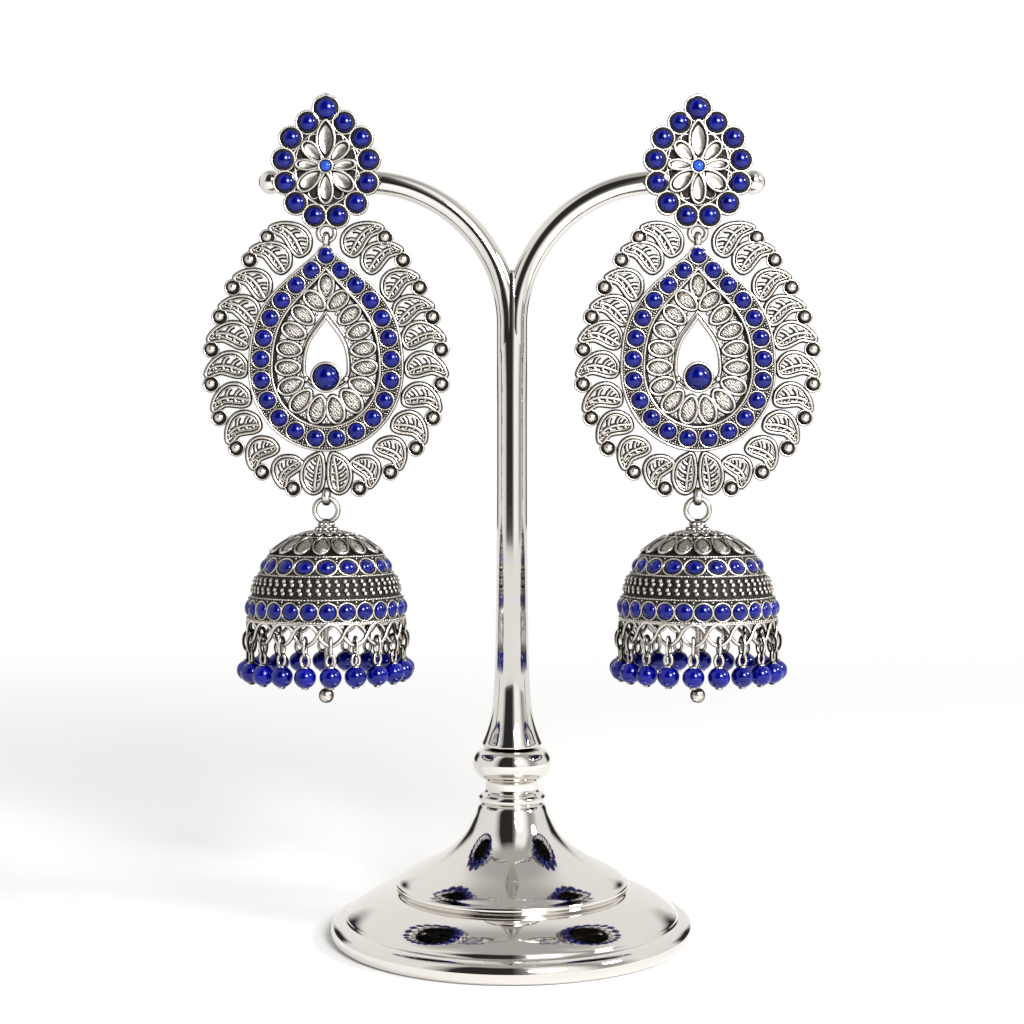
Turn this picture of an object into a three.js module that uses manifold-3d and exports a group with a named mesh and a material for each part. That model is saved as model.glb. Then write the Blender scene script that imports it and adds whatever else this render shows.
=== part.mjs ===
// A pair of bell-shaped drop earrings hanging on a forked metal display stand.
// Millimetres, +Z up, +X to the viewer's right, -Y towards the viewer. The origin is the centre of
// the stand's flat underside. Each earring is a stud plate, a pierced leaf pendant that hangs on the
// stud's ring, and a domed bell that hangs on the pendant and carries a fringe of bead drops.
import * as THREE from "three";
import { mergeVertices } from "three/addons/utils/BufferGeometryUtils.js";
import Module from "manifold-3d";

const wasm = await Module();
wasm.setup();

// Stand
const FOOT_RADIUS = 32.25;
const FOOT_HEIGHT = 33.8;
const FOOT_SIDES = 16;
const COLUMN_RADIUS = 2.75;
const COLUMN_SIDES = 10;
const ARM_HEIGHT = 135.4;
const ARM_RADIUS = 2.08;
const ARM_SIDES = 8;
const ARM_BEND_WIDTH = 25.8;
const ARM_BEND_HEIGHT = 25.7;
const ARM_TIP_OVERHANG = 7.2;
const ARM_TIP_NECK_RADIUS = 1.35;
const ARM_TIP_BALL_RADIUS = 2.1;
const ARM_TIP_BALL_REACH = 3.2;
const SEAT_GAP = 0.3;

// Ear post and its push-on nut
const EARRING_SPACING = 66.2;
const POST_RADIUS = 0.45;
const POST_LENGTH = 10.4;
const POST_CLEARANCE = 0.25;
const NUT_RADIUS = 2.6;
const NUT_LENGTH = 3.4;

// Stud plate
const STUD_RISE = 2.2;
const STUD_HALF_WIDTH = 7.65;
const STUD_TIP = 10.3;
const STUD_DROP = 9.1;
const STUD_THICKNESS = 1.4;
const STUD_STONES = 13;
const STUD_STONE_RADIUS = 1.55;
const STUD_TIP_STONE_RADIUS = 1.9;
const STUD_BEZEL_WIDTH = 0.6;
const STUD_PETALS = 8;
const STUD_PETAL_LENGTH = 5.6;
const STUD_PETAL_HEIGHT = 0.6;
const STUD_CENTRE_RADIUS = 0.95;
const STUD_CENTRE_HEIGHT = 0.9;

// Hanging rings: a bail stands at right angles to the ring that it hangs on
const RING_RADIUS = 1.5;
const RING_WIRE = 0.45;
const BAIL_RADIUS = 1.1;
const BAIL_WIRE = 0.45;
const BELL_RING_RADIUS = 2.1;
const BELL_BAIL_RADIUS = 1.25;
const BELL_BAIL_WIRE = 0.4;
const HANG_CLEARANCE = 0.15;
const SWING_CLEARANCE = 0.3;

// Pendant
const PENDANT_HALF_WIDTH = 13.83;
const PENDANT_TIP = 22.2;
const PENDANT_DROP = 14.6;
const PENDANT_THICKNESS = 1.2;
const BAND_WIDTH = 4.4;
const BAND_RELIEF = 0.5;
const SEEDS = 17;
const SEED_LENGTH = 4.5;
const SEED_WIDTH = 2.6;
const SEED_RING_HALF_WIDTH = 6.85;
const SEED_RING_TIP = 14.9;
const SEED_RING_DROP = 7.3;
const OPENING_HALF_WIDTH = 3.7;
const OPENING_TIP = 9.7;
const OPENING_DROP = 3.2;
const OPENING_RIM = 0.75;
const PENDANT_STONE_DROP = 1.35;
const PENDANT_STONE_RADIUS = 1.95;
const PENDANT_STONE_HEIGHT = 1.9;
const PENDANT_BEZEL_WALL = 0.5;
const PENDANT_BEZEL_HEIGHT = 0.8;
const LOBES_PER_SIDE = 10;
const LOBE_START = 3.6;
const LOBE_LENGTH = 6;
const LOBE_OFFSET = 1.6;
const LOBE_SWEEP = 42;
const CLOSING_LOBE_WIDTH = 4.65;
const CLOSING_LOBE_HEIGHT = 8.6;

// Bell
const BELL_RADIUS = 14.3;
const BELL_CROWN = 15.2;
const BELL_WALL = 0.8;
const BELL_FINIAL_RADIUS = 2.1;
const BELL_FINIAL_HEIGHT = 2.2;
const LOOPS = 20;
const LOOP_GALLERY_HEIGHT = 4.2;
const LOOP_HOLE_WIDTH = 2.9;
const LOOP_RIM = 0.7;
const LOOP_NOTCH_WIDTH = 1.9;
const LOOP_NOTCH_HEIGHT = 1.5;

// Bead drops and the pin through the bell
const BEAD_RADIUS = 1.85;
const EYE_RADIUS = 0.9;
const EYE_WIRE = 0.3;
const EYE_LENGTH = 6.3;
const EYE_SINK = 1.5;
const PIN_RADIUS = 0.45;
const PIN_TOP_GAP = 1;
const PIN_BALL_RADIUS = 1.36;
const PIN_BALL_DROP = 2.9;

// Outline of the foot, from its underside up, as shares of its radius and height.
const FOOT_PROFILE = [
  { radius: 0.967, height: 0 },
  { radius: 1, height: 0.056 },
  { radius: 0.92, height: 0.115 },
  { radius: 0.778, height: 0.228 },
  { radius: 0.63, height: 0.278 },
  { radius: 0.63, height: 0.317 },
  { radius: 0.583, height: 0.352 },
  { radius: 0.459, height: 0.414 },
  { radius: 0.319, height: 0.5 },
  { radius: 0.211, height: 0.6 },
  { radius: 0.164, height: 0.725 },
  { radius: 0.15, height: 0.79 },
  { radius: 0.15, height: 0.84 },
  { radius: 0.222, height: 0.93 },
  { radius: 0.167, height: 1 },
];

// Outline of the column, from the foot up: radius as a share of the column's own, and height as a share
// of the rise from the foot to the fork.
const COLUMN_PROFILE = [
  { radius: 1.96, height: 0 },
  { radius: 1.76, height: 0.027 },
  { radius: 1.4, height: 0.07 },
  { radius: 1.16, height: 0.15 },
  { radius: 1.03, height: 0.32 },
  { radius: 0.98, height: 1 },
  { radius: 0.5, height: 1.08 },
];

// Outer edge of one leaf lobe, then the gap in its leaf and the gap between it and the next lobe.
// Along is from its round end to its ball, across is towards the top, both as shares of its length.
// The first lobe starts from the frame at a place of its own.
const LOBE_EDGE = [
  { along: 0.36, across: 0.6 },
  { along: 0.78, across: 0.54 },
  { along: 1.08, across: 0.22 },
  { along: 1.22, across: 0 },
  { along: 1.06, across: -0.22 },
];
const FIRST_LOBE_ROOT = { along: -0.3, across: 0.2 };
const LOBE_GAP = [
  { along: -0.1, across: 0.02 },
  { along: 0.42, across: 0.42 },
  { along: 0.58, across: 0.08 },
  { along: 0.02, across: -0.24 },
];
const LOBE_NOTCH = [
  { along: 0.72, across: -0.16 },
  { along: 0.34, across: -0.38 },
  { along: 0.42, across: -0.56 },
];

// One of the two lobes that close the pendant's lower end, across from the middle and down from the frame.
const CLOSING_OUTLINE = [
  { across: 0.86, down: 0.82 },
  { across: 0.7, down: 0.95 },
  { across: 0.46, down: 1 },
  { across: 0.1, down: 0.87 },
];
const CLOSING_GAP = [
  { across: 0.26, down: 0.16 },
  { across: 0.56, down: 0.14 },
  { across: 0.74, down: 0.45 },
  { across: 0.68, down: 0.72 },
  { across: 0.46, down: 0.82 },
  { across: 0.22, down: 0.6 },
];

// Outside of the bell from its crown down to the loops, and inside from the loops up to its crown.
const BELL_OUTSIDE = [
  { radius: 0.4, height: 1 },
  { radius: 0.72, height: 0.765 },
  { radius: 0.85, height: 0.52 },
  { radius: 0.94, height: 0.28 },
  { radius: 1, height: 0.14 },
  { radius: 1, height: 0 },
];
const BELL_INSIDE = [
  { radius: 0.87, height: 0.45 },
  { radius: 0.6, height: 0.81 },
];

const oxidisedSilver = new THREE.MeshStandardMaterial({ color: 0x9a948a, roughness: 0.38, metalness: 1 });
const polishedSilver = new THREE.MeshStandardMaterial({ color: 0xd9d5cd, roughness: 0.08, metalness: 1 });
const blueStone = new THREE.MeshStandardMaterial({ color: 0x0a1fae, roughness: 0.12, metalness: 0 });
const blueBead = new THREE.MeshStandardMaterial({ color: 0x0a128c, roughness: 0.15, metalness: 0 });

const FACE_FRONT = Math.PI / 2;
const UP = new THREE.Vector3(0, 0, 1);
const radians = THREE.MathUtils.degToRad;

// A closed geometry as a solid, placed in its group by an optional offset.
function solidOf(geometry, x = 0, y = 0, z = 0) {
  const bare = (geometry.index ? geometry.toNonIndexed() : geometry.clone()).translate(x, y, z);
  bare.deleteAttribute("normal");
  bare.deleteAttribute("uv");
  const merged = mergeVertices(bare, 1e-4);
  return new wasm.Manifold(
    new wasm.Mesh({
      numProp: 3,
      vertProperties: merged.attributes.position.array,
      triVerts: new Uint32Array(merged.index.array),
    }),
  );
}

function joined(solids) {
  return solids.reduce((whole, next) => whole.add(next));
}

function pieceOf(name, solid, material) {
  const mesh = solid.getMesh();
  const positions = new Float32Array(mesh.numVert * 3);
  for (let i = 0; i < mesh.numVert; i++) {
    positions.set(mesh.vertProperties.subarray(i * mesh.numProp, i * mesh.numProp + 3), i * 3);
  }
  const geometry = new THREE.BufferGeometry()
    .setAttribute("position", new THREE.BufferAttribute(positions, 3))
    .setIndex(new THREE.BufferAttribute(new Uint32Array(mesh.triVerts), 1));
  const piece = new THREE.Mesh(geometry, material);
  piece.name = name;
  return piece;
}

// A flat outline in the X-Z plane, made solid from `back` to `back + depth` towards the viewer.
function slab(outline, holes, back, depth) {
  const turnsLeft = THREE.ShapeUtils.isClockWise(outline) ? [...outline].reverse() : outline;
  const shape = new THREE.Shape(turnsLeft);
  shape.holes = holes.map((hole) => new THREE.Path(hole));
  const geometry = new THREE.ExtrudeGeometry(shape, { depth, bevelEnabled: false, steps: 1 });
  return solidOf(geometry.rotateX(FACE_FRONT), 0, -back, 0);
}

// A round solid about +Z. Its profile runs from the axis at the bottom, out and up, to the axis at the top.
function turned(profile, sides) {
  const points = profile.map(([radius, height]) => new THREE.Vector2(radius, height));
  return new THREE.LatheGeometry(points, sides).rotateX(FACE_FRONT);
}

// A wire ring that faces the viewer, and one that is seen edge-on.
function facingRing(radius, wire) {
  return new THREE.TorusGeometry(radius, wire, 5, 10).rotateX(FACE_FRONT);
}

function edgeOnRing(radius, wire) {
  return new THREE.TorusGeometry(radius, wire, 5, 10).rotateY(FACE_FRONT);
}

// A pear outline: round below and drawn in to a point above. It runs clockwise from its point.
function teardrop(halfWidth, tip, drop) {
  const path = new THREE.Path();
  path.moveTo(0, tip);
  path.bezierCurveTo(halfWidth * 0.58, tip * 0.64, halfWidth, tip * 0.56, halfWidth, 0);
  path.absellipse(0, 0, halfWidth, drop, 0, Math.PI, true);
  path.bezierCurveTo(-halfWidth, tip * 0.56, -halfWidth * 0.58, tip * 0.64, 0, tip);
  return path;
}

// Places at equal steps along an outline, each with its outward direction.
function stationsAlong(path, count) {
  return Array.from({ length: count }, (_, i) => stationAt(path, i / count));
}

function stationAt(path, share) {
  const point = path.getPoint(share);
  const tangent = path.getTangent(share);
  const outward = share ? new THREE.Vector2(-tangent.y, tangent.x) : new THREE.Vector2(0, 1);
  return { point, outward };
}

function outlineOf(path, sides) {
  return path.getSpacedPoints(sides).slice(0, sides);
}

// Stand
function footOfStand() {
  const profile = FOOT_PROFILE.map(({ radius, height }) => [radius * FOOT_RADIUS, height * FOOT_HEIGHT]);
  return solidOf(turned([[0, 0], ...profile, [0, FOOT_HEIGHT]], FOOT_SIDES));
}

const POST_X = EARRING_SPACING / 2;
const ARM_INNER_X = COLUMN_RADIUS - ARM_RADIUS;
const ARM_END_X = POST_X + ARM_TIP_OVERHANG;

// Centreline of one arm: from its outer end level inwards, then round a quarter ellipse down to the column.
function armLine(side) {
  const bendStart = ARM_INNER_X + ARM_BEND_WIDTH;
  const bendSteps = 8;
  const points = [new THREE.Vector3(side * ARM_END_X, 0, ARM_HEIGHT)];
  points.push(new THREE.Vector3((side * (ARM_END_X + bendStart)) / 2, 0, ARM_HEIGHT));
  for (let i = 0; i <= bendSteps; i++) {
    const turn = (i / bendSteps) * (Math.PI / 2);
    const x = bendStart - ARM_BEND_WIDTH * Math.sin(turn);
    points.push(new THREE.Vector3(side * x, 0, ARM_HEIGHT - ARM_BEND_HEIGHT * (1 - Math.cos(turn))));
  }
  points.push(new THREE.Vector3(side * ARM_INNER_X, 0, ARM_HEIGHT - ARM_BEND_HEIGHT - ARM_RADIUS));
  return new THREE.CatmullRomCurve3(points, false, "centripetal");
}

function arm(side) {
  const section = new THREE.Shape();
  section.absarc(0, 0, ARM_RADIUS, 0, 2 * Math.PI);
  const round = new THREE.Shape(section.getSpacedPoints(ARM_SIDES).slice(0, ARM_SIDES));
  const sweep = { steps: 10, bevelEnabled: false, extrudePath: armLine(side) };
  const tube = new THREE.ExtrudeGeometry(round, sweep);
  const ball = ARM_TIP_BALL_RADIUS;
  const profile = [
    [0, -1],
    [ARM_TIP_NECK_RADIUS, -1],
    [ARM_TIP_NECK_RADIUS, ARM_TIP_BALL_REACH - ball * 0.8],
    [ball, ARM_TIP_BALL_REACH],
    [ball * 0.7, ARM_TIP_BALL_REACH + ball * 0.72],
    [0, ARM_TIP_BALL_REACH + ball],
  ];
  const finial = turned(profile, ARM_SIDES).rotateY((side * Math.PI) / 2);
  const holeRadius = POST_RADIUS + POST_CLEARANCE;
  const hole = new THREE.CylinderGeometry(holeRadius, holeRadius, ARM_RADIUS * 4, 6);
  return joined([solidOf(tube), solidOf(finial, side * ARM_END_X, 0, ARM_HEIGHT)]).subtract(
    solidOf(hole, side * POST_X, 0, ARM_HEIGHT),
  );
}

function forkOfStand() {
  const foot = FOOT_HEIGHT + SEAT_GAP;
  const rise = ARM_HEIGHT - ARM_BEND_HEIGHT - foot;
  const place = ({ radius, height }) => [radius * COLUMN_RADIUS, foot + height * rise];
  const profile = COLUMN_PROFILE.map(place);
  const top = profile[profile.length - 1][1];
  const column = solidOf(turned([[0, foot], ...profile, [0, top]], COLUMN_SIDES));
  return joined([column, arm(-1), arm(1)]);
}

// Stud plate, in a frame whose origin is where the ear post leaves the plate's flat back.
function studStations() {
  return stationsAlong(teardrop(STUD_HALF_WIDTH, STUD_TIP, STUD_DROP), STUD_STONES);
}

// The scalloped edge: a short arc round the outside of each stone, and a point over the top one.
function studOutline() {
  const points = [];
  studStations().forEach(({ point, outward }, i) => {
    const reach = (i ? STUD_STONE_RADIUS : STUD_TIP_STONE_RADIUS) + STUD_BEZEL_WIDTH;
    for (const turn of i ? [36, -36] : [60, 0, -60]) {
      const away = outward.clone().rotateAround(new THREE.Vector2(), radians(turn));
      points.push(point.clone().addScaledVector(away, reach));
    }
  });
  return points.map((p) => new THREE.Vector2(p.x, p.y + STUD_RISE));
}

// The raised flower: a star whose points are the petal tips and whose valleys lie between petals.
function studFlower() {
  const outline = [];
  for (let i = 0; i < STUD_PETALS * 2; i++) {
    const length = i % 2 ? STUD_PETAL_LENGTH * 0.52 : STUD_PETAL_LENGTH * (i ? 1 : 1.25);
    const turn = (i / STUD_PETALS) * Math.PI;
    const away = new THREE.Vector2(0, length).rotateAround(new THREE.Vector2(), turn);
    outline.push(away.add(new THREE.Vector2(0, STUD_RISE)));
  }
  const bore = circleOutline(STUD_CENTRE_RADIUS + SEAT_GAP, 8, STUD_RISE);
  return slab(outline, [bore], STUD_THICKNESS - 0.1, STUD_PETAL_HEIGHT + 0.1);
}

const RING_DROP = STUD_RISE - STUD_DROP - STUD_STONE_RADIUS - RING_RADIUS + RING_WIRE;
const PENDANT_PIVOT = RING_DROP - RING_RADIUS;
const MID_PLANE = -STUD_THICKNESS / 2;

function studPlate() {
  const solids = [slab(studOutline(), [], 0, STUD_THICKNESS), studFlower()];
  const post = new THREE.CylinderGeometry(POST_RADIUS, POST_RADIUS, POST_LENGTH + 0.5, 6);
  solids.push(solidOf(post, 0, POST_LENGTH / 2 - 0.25, 0));
  solids.push(solidOf(facingRing(RING_RADIUS, RING_WIRE), 0, MID_PLANE, RING_DROP));
  return joined(solids);
}

function studStone() {
  const profile = [
    [0, 0],
    [STUD_CENTRE_RADIUS, 0],
    [STUD_CENTRE_RADIUS * 0.75, STUD_CENTRE_HEIGHT * 0.75],
    [0, STUD_CENTRE_HEIGHT],
  ];
  return solidOf(turned(profile, 8).rotateX(FACE_FRONT), 0, -STUD_THICKNESS - SEAT_GAP, STUD_RISE);
}

function earNut() {
  const bore = POST_RADIUS + POST_CLEARANCE;
  const profile = [
    [bore, 0],
    [NUT_RADIUS, 0],
    [NUT_RADIUS, NUT_LENGTH * 0.35],
    [NUT_RADIUS * 0.55, NUT_LENGTH],
    [bore, NUT_LENGTH],
    [bore, 0],
  ];
  const geometry = turned(profile, 8).rotateX(-FACE_FRONT);
  return solidOf(geometry, 0, 2 * (ARM_RADIUS + SEAT_GAP), 0);
}

// Pendant, in a frame whose origin is the middle of its widest part, in its middle plane.
const BAIL_CENTRE = BAIL_RADIUS - BAIL_WIRE - RING_WIRE - HANG_CLEARANCE;
const PENDANT_MIDDLE = PENDANT_PIVOT - RING_WIRE - SWING_CLEARANCE - PENDANT_TIP;
const BELL_BAIL_INSIDE = BELL_BAIL_RADIUS - BELL_BAIL_WIRE;
const BELL_PIVOT = -PENDANT_DROP - CLOSING_LOBE_HEIGHT * 0.87 - RING_WIRE - SWING_CLEARANCE;
const HALF_PLATE = PENDANT_THICKNESS / 2;

function lobeFrame(share, side) {
  const { point, outward } = stationAt(teardrop(PENDANT_HALF_WIDTH, PENDANT_TIP, PENDANT_DROP), share);
  const along = outward.clone().rotateAround(new THREE.Vector2(), radians(-LOBE_SWEEP));
  const across = new THREE.Vector2(-along.y, along.x);
  const middle = point.clone().addScaledVector(outward, LOBE_OFFSET);
  return (place) => {
    const p = middle.clone();
    p.addScaledVector(along, place.along * LOBE_LENGTH).addScaledVector(across, place.across * LOBE_LENGTH);
    return new THREE.Vector2(side * p.x, p.y);
  };
}

// Where each lobe leaves the frame, as a share of the way round it from its point.
function lobeShares() {
  const length = teardrop(PENDANT_HALF_WIDTH, PENDANT_TIP, PENDANT_DROP).getLength();
  const start = LOBE_START / length;
  const step = (0.5 - start) / (LOBES_PER_SIDE + 0.28);
  return Array.from({ length: LOBES_PER_SIDE }, (_, i) => start + i * step);
}

function closingPlace(side) {
  return ({ across, down }) =>
    new THREE.Vector2(side * across * CLOSING_LOBE_WIDTH, -PENDANT_DROP - down * CLOSING_LOBE_HEIGHT);
}

// Half of the lobed edge, from the frame's point down to its middle, on one side.
function lobedEdge(side) {
  const shares = lobeShares();
  const root = lobeFrame(shares[0], side)(FIRST_LOBE_ROOT);
  const lobes = shares.flatMap((share) => LOBE_EDGE.map(lobeFrame(share, side)));
  return [root, ...lobes, ...CLOSING_OUTLINE.map(closingPlace(side))];
}

function lobeGaps() {
  const gaps = [-1, 1].flatMap((side) => {
    const leaves = lobeShares().flatMap((share, i) => {
      const place = lobeFrame(share, side);
      const notches = i < LOBES_PER_SIDE - 1 ? [LOBE_NOTCH.map(place)] : [];
      return [LOBE_GAP.map(place), ...notches];
    });
    return [...leaves, CLOSING_GAP.map(closingPlace(side))];
  });
  return joined(gaps.map((gap) => slab(gap, [], -PENDANT_THICKNESS, 2 * PENDANT_THICKNESS)));
}

// An almond seed that bridges from the rim of the opening to the band, its point inwards.
function seed({ point, outward }) {
  const across = new THREE.Vector2(-outward.y, outward.x);
  const places = [
    [-0.6, 0],
    [0.15, 0.5],
    [0.85, 0],
    [0.15, -0.5],
  ];
  const outline = places.map(([out, side]) =>
    point.clone().addScaledVector(outward, out * SEED_LENGTH).addScaledVector(across, side * SEED_WIDTH),
  );
  return slab(outline, [], -HALF_PLATE, PENDANT_THICKNESS);
}

// The rim of the pear-shaped opening, and the bezel that closes its lower end.
function openingRim() {
  const rim = teardrop(
    OPENING_HALF_WIDTH + OPENING_RIM,
    OPENING_TIP + OPENING_RIM * 1.6,
    OPENING_DROP + OPENING_RIM,
  );
  const opening = teardrop(OPENING_HALF_WIDTH, OPENING_TIP, OPENING_DROP);
  return slab(outlineOf(rim, 12), [outlineOf(opening, 10)], -HALF_PLATE, PENDANT_THICKNESS);
}

function circleOutline(radius, sides, height) {
  return Array.from({ length: sides }, (_, i) => {
    const turn = (i / sides) * 2 * Math.PI;
    return new THREE.Vector2(radius * Math.cos(turn), radius * Math.sin(turn) + height);
  });
}

function pendantBezel() {
  const inside = PENDANT_STONE_RADIUS + SEAT_GAP;
  const outline = circleOutline(inside + PENDANT_BEZEL_WALL, 10, -PENDANT_STONE_DROP);
  const bore = circleOutline(inside, 10, -PENDANT_STONE_DROP);
  return joined([
    slab(outline, [], -HALF_PLATE, PENDANT_THICKNESS),
    slab(outline, [bore], HALF_PLATE - 0.1, PENDANT_BEZEL_HEIGHT + 0.1),
  ]);
}

function pendantPlate() {
  const outer = teardrop(PENDANT_HALF_WIDTH, PENDANT_TIP, PENDANT_DROP);
  const bandInside = teardrop(
    PENDANT_HALF_WIDTH - BAND_WIDTH,
    PENDANT_TIP - BAND_WIDTH * 1.1,
    PENDANT_DROP - BAND_WIDTH,
  );
  const inside = outlineOf(bandInside, 18);
  const edge = [new THREE.Vector2(0, PENDANT_TIP), ...lobedEdge(1), ...lobedEdge(-1).reverse()];
  const solids = [
    slab(edge, [inside], -HALF_PLATE, PENDANT_THICKNESS).subtract(lobeGaps()),
    slab(outlineOf(outer, 22), [inside], HALF_PLATE - 0.1, BAND_RELIEF + 0.1),
    openingRim(),
    pendantBezel(),
  ];
  const seedLine = teardrop(SEED_RING_HALF_WIDTH, SEED_RING_TIP, SEED_RING_DROP);
  for (const station of stationsAlong(seedLine, SEEDS)) solids.push(seed(station));
  const bailRise = PENDANT_PIVOT - PENDANT_MIDDLE - BAIL_CENTRE;
  solids.push(solidOf(edgeOnRing(BAIL_RADIUS, BAIL_WIRE), 0, 0, bailRise));
  const bailDrop = BELL_PIVOT - RING_WIRE - HANG_CLEARANCE + BELL_BAIL_INSIDE;
  solids.push(solidOf(edgeOnRing(BELL_BAIL_RADIUS, BELL_BAIL_WIRE), 0, 0, bailDrop));
  return joined(solids);
}

function pendantStone() {
  const profile = [
    [0, 0],
    [PENDANT_STONE_RADIUS, 0],
    [PENDANT_STONE_RADIUS * 0.85, PENDANT_STONE_HEIGHT * 0.6],
    [PENDANT_STONE_RADIUS * 0.45, PENDANT_STONE_HEIGHT * 0.92],
    [0, PENDANT_STONE_HEIGHT],
  ];
  const seat = -HALF_PLATE - SEAT_GAP;
  return solidOf(turned(profile, 10).rotateX(FACE_FRONT), 0, seat, -PENDANT_STONE_DROP);
}

// Bell, in a frame whose origin is on its axis at the top of its loops.
const LOOP_RIM_HEIGHT = -LOOP_GALLERY_HEIGHT + LOOP_RIM / 2;
const LOOP_MID_RADIUS = BELL_RADIUS - BELL_WALL / 2;
const BELL_RING_HEIGHT = BELL_CROWN + BELL_FINIAL_HEIGHT + BELL_RING_RADIUS - RING_WIRE;
const BELL_PIVOT_HEIGHT = BELL_RING_HEIGHT + BELL_RING_RADIUS;

// The pierced loops: a gap inside each one, and a notch between neighbours along the mouth.
function loopCutters() {
  const holeHeight = LOOP_GALLERY_HEIGHT - 2 * LOOP_RIM;
  const gap = new THREE.CylinderGeometry(0.5, 0.5, BELL_WALL * 6, 4)
    .scale(LOOP_HOLE_WIDTH, 1, holeHeight)
    .translate(0, -LOOP_MID_RADIUS, -LOOP_GALLERY_HEIGHT / 2);
  const notch = new THREE.CylinderGeometry(0.5, 0.5, BELL_WALL * 6, 4)
    .scale(LOOP_NOTCH_WIDTH, 1, LOOP_NOTCH_HEIGHT * 2)
    .translate(0, -BELL_RADIUS, -LOOP_GALLERY_HEIGHT);
  const cutters = [];
  for (let i = 0; i < LOOPS; i++) {
    cutters.push(solidOf(gap.clone().rotateZ(loopAngle(i))));
    cutters.push(solidOf(notch.clone().rotateZ(loopAngle(i + 0.5))));
  }
  return joined(cutters);
}

function bellDome() {
  const outside = BELL_OUTSIDE.map(({ radius, height }) => [radius * BELL_RADIUS, height * BELL_CROWN]);
  const inside = BELL_INSIDE.map(({ radius, height }) => [
    radius * (BELL_RADIUS - BELL_WALL),
    height * (BELL_CROWN - BELL_WALL),
  ]);
  const profile = [
    [0, BELL_CROWN - BELL_WALL],
    ...[...inside].reverse(),
    [BELL_RADIUS - BELL_WALL, 0],
    [BELL_RADIUS - BELL_WALL, -LOOP_GALLERY_HEIGHT],
    [BELL_RADIUS, -LOOP_GALLERY_HEIGHT],
    ...[...outside].reverse(),
    [0, BELL_CROWN],
  ];
  const finial = new THREE.SphereGeometry(BELL_FINIAL_RADIUS, 10, 4).rotateX(FACE_FRONT);
  finial.scale(1, 1, BELL_FINIAL_HEIGHT / 2 / BELL_FINIAL_RADIUS + 0.1);
  const parts = [
    solidOf(turned(profile, LOOPS)).subtract(loopCutters()),
    solidOf(finial, 0, 0, BELL_CROWN + BELL_FINIAL_HEIGHT / 2),
    solidOf(facingRing(BELL_RING_RADIUS, RING_WIRE), 0, 0, BELL_RING_HEIGHT),
  ];
  return joined(parts);
}

function loopAngle(i) {
  return ((i + 0.5) / LOOPS) * 2 * Math.PI;
}

const BEAD_HEIGHT = EYE_RADIUS + EYE_WIRE - EYE_LENGTH + EYE_SINK - BEAD_RADIUS;

// One drop, in a frame whose origin is the middle of the loop rim that its eye goes round.
function beadDrop() {
  const stretch = EYE_LENGTH / 2 - EYE_RADIUS - EYE_WIRE;
  const eye = new THREE.TorusGeometry(EYE_RADIUS, EYE_WIRE, 5, 10).rotateZ(Math.PI / 10);
  const place = eye.getAttribute("position");
  for (let i = 0; i < place.count; i++) place.setY(i, place.getY(i) + Math.sign(place.getY(i)) * stretch);
  eye.rotateX(FACE_FRONT).rotateZ(FACE_FRONT);
  const bead = new THREE.SphereGeometry(BEAD_RADIUS, 10, 4).rotateY(Math.PI / 10);
  return joined([solidOf(eye, 0, 0, -stretch), solidOf(bead, 0, 0, BEAD_HEIGHT)]);
}

function bellPin() {
  const top = BELL_CROWN - BELL_WALL - PIN_TOP_GAP;
  const ball = LOOP_RIM_HEIGHT + BEAD_HEIGHT - BEAD_RADIUS - PIN_BALL_DROP;
  const profile = [
    [0, ball - PIN_BALL_RADIUS],
    [PIN_BALL_RADIUS * 0.7, ball - PIN_BALL_RADIUS * 0.7],
    [PIN_BALL_RADIUS, ball],
    [PIN_BALL_RADIUS * 0.7, ball + PIN_BALL_RADIUS * 0.7],
    [PIN_RADIUS, ball + PIN_BALL_RADIUS * 0.95],
    [PIN_RADIUS, top],
    [0, top],
  ];
  return solidOf(turned(profile, 6));
}

// One earring in nested groups: stud, then pendant, then bell with its fringe.
function earring(name, side) {
  const stud = new THREE.Group();
  stud.position.set(side * POST_X, -ARM_RADIUS - SEAT_GAP, ARM_HEIGHT);
  stud.add(pieceOf(name + "_stud_plate", studPlate(), oxidisedSilver));
  stud.add(pieceOf(name + "_stud_stone", studStone(), blueStone));
  stud.add(pieceOf(name + "_ear_nut", earNut(), oxidisedSilver));

  const pendant = new THREE.Group();
  pendant.position.set(0, MID_PLANE, PENDANT_MIDDLE);
  pendant.add(pieceOf(name + "_pendant_plate", pendantPlate(), oxidisedSilver));
  pendant.add(pieceOf(name + "_pendant_stone", pendantStone(), blueStone));
  stud.add(pendant);

  const bell = new THREE.Group();
  bell.position.set(0, 0, BELL_PIVOT - BELL_PIVOT_HEIGHT);
  bell.add(pieceOf(name + "_bell_dome", bellDome(), oxidisedSilver));
  bell.add(pieceOf(name + "_bell_pin", bellPin(), oxidisedSilver));
  const drop = beadDrop();
  for (let i = 0; i < LOOPS; i++) {
    const label = String(i + 1).padStart(2, "0");
    const piece = pieceOf(name + "_bead_drop_" + label, drop, blueBead);
    const turn = loopAngle(i);
    piece.position.set(0, -LOOP_MID_RADIUS, LOOP_RIM_HEIGHT).applyAxisAngle(UP, turn);
    piece.rotation.z = turn;
    bell.add(piece);
  }
  pendant.add(bell);
  return stud;
}

const pair = new THREE.Group();
pair.add(pieceOf("stand_foot", footOfStand(), polishedSilver));
pair.add(pieceOf("stand_fork", forkOfStand(), polishedSilver));
pair.add(earring("left", -1));
pair.add(earring("right", 1));

export default pair;
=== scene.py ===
"""A pair of bell drop earrings with blue stones, hanging on a polished forked stand."""

import math

import bpy
import numpy as np
from mathutils import Matrix, Vector


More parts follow.
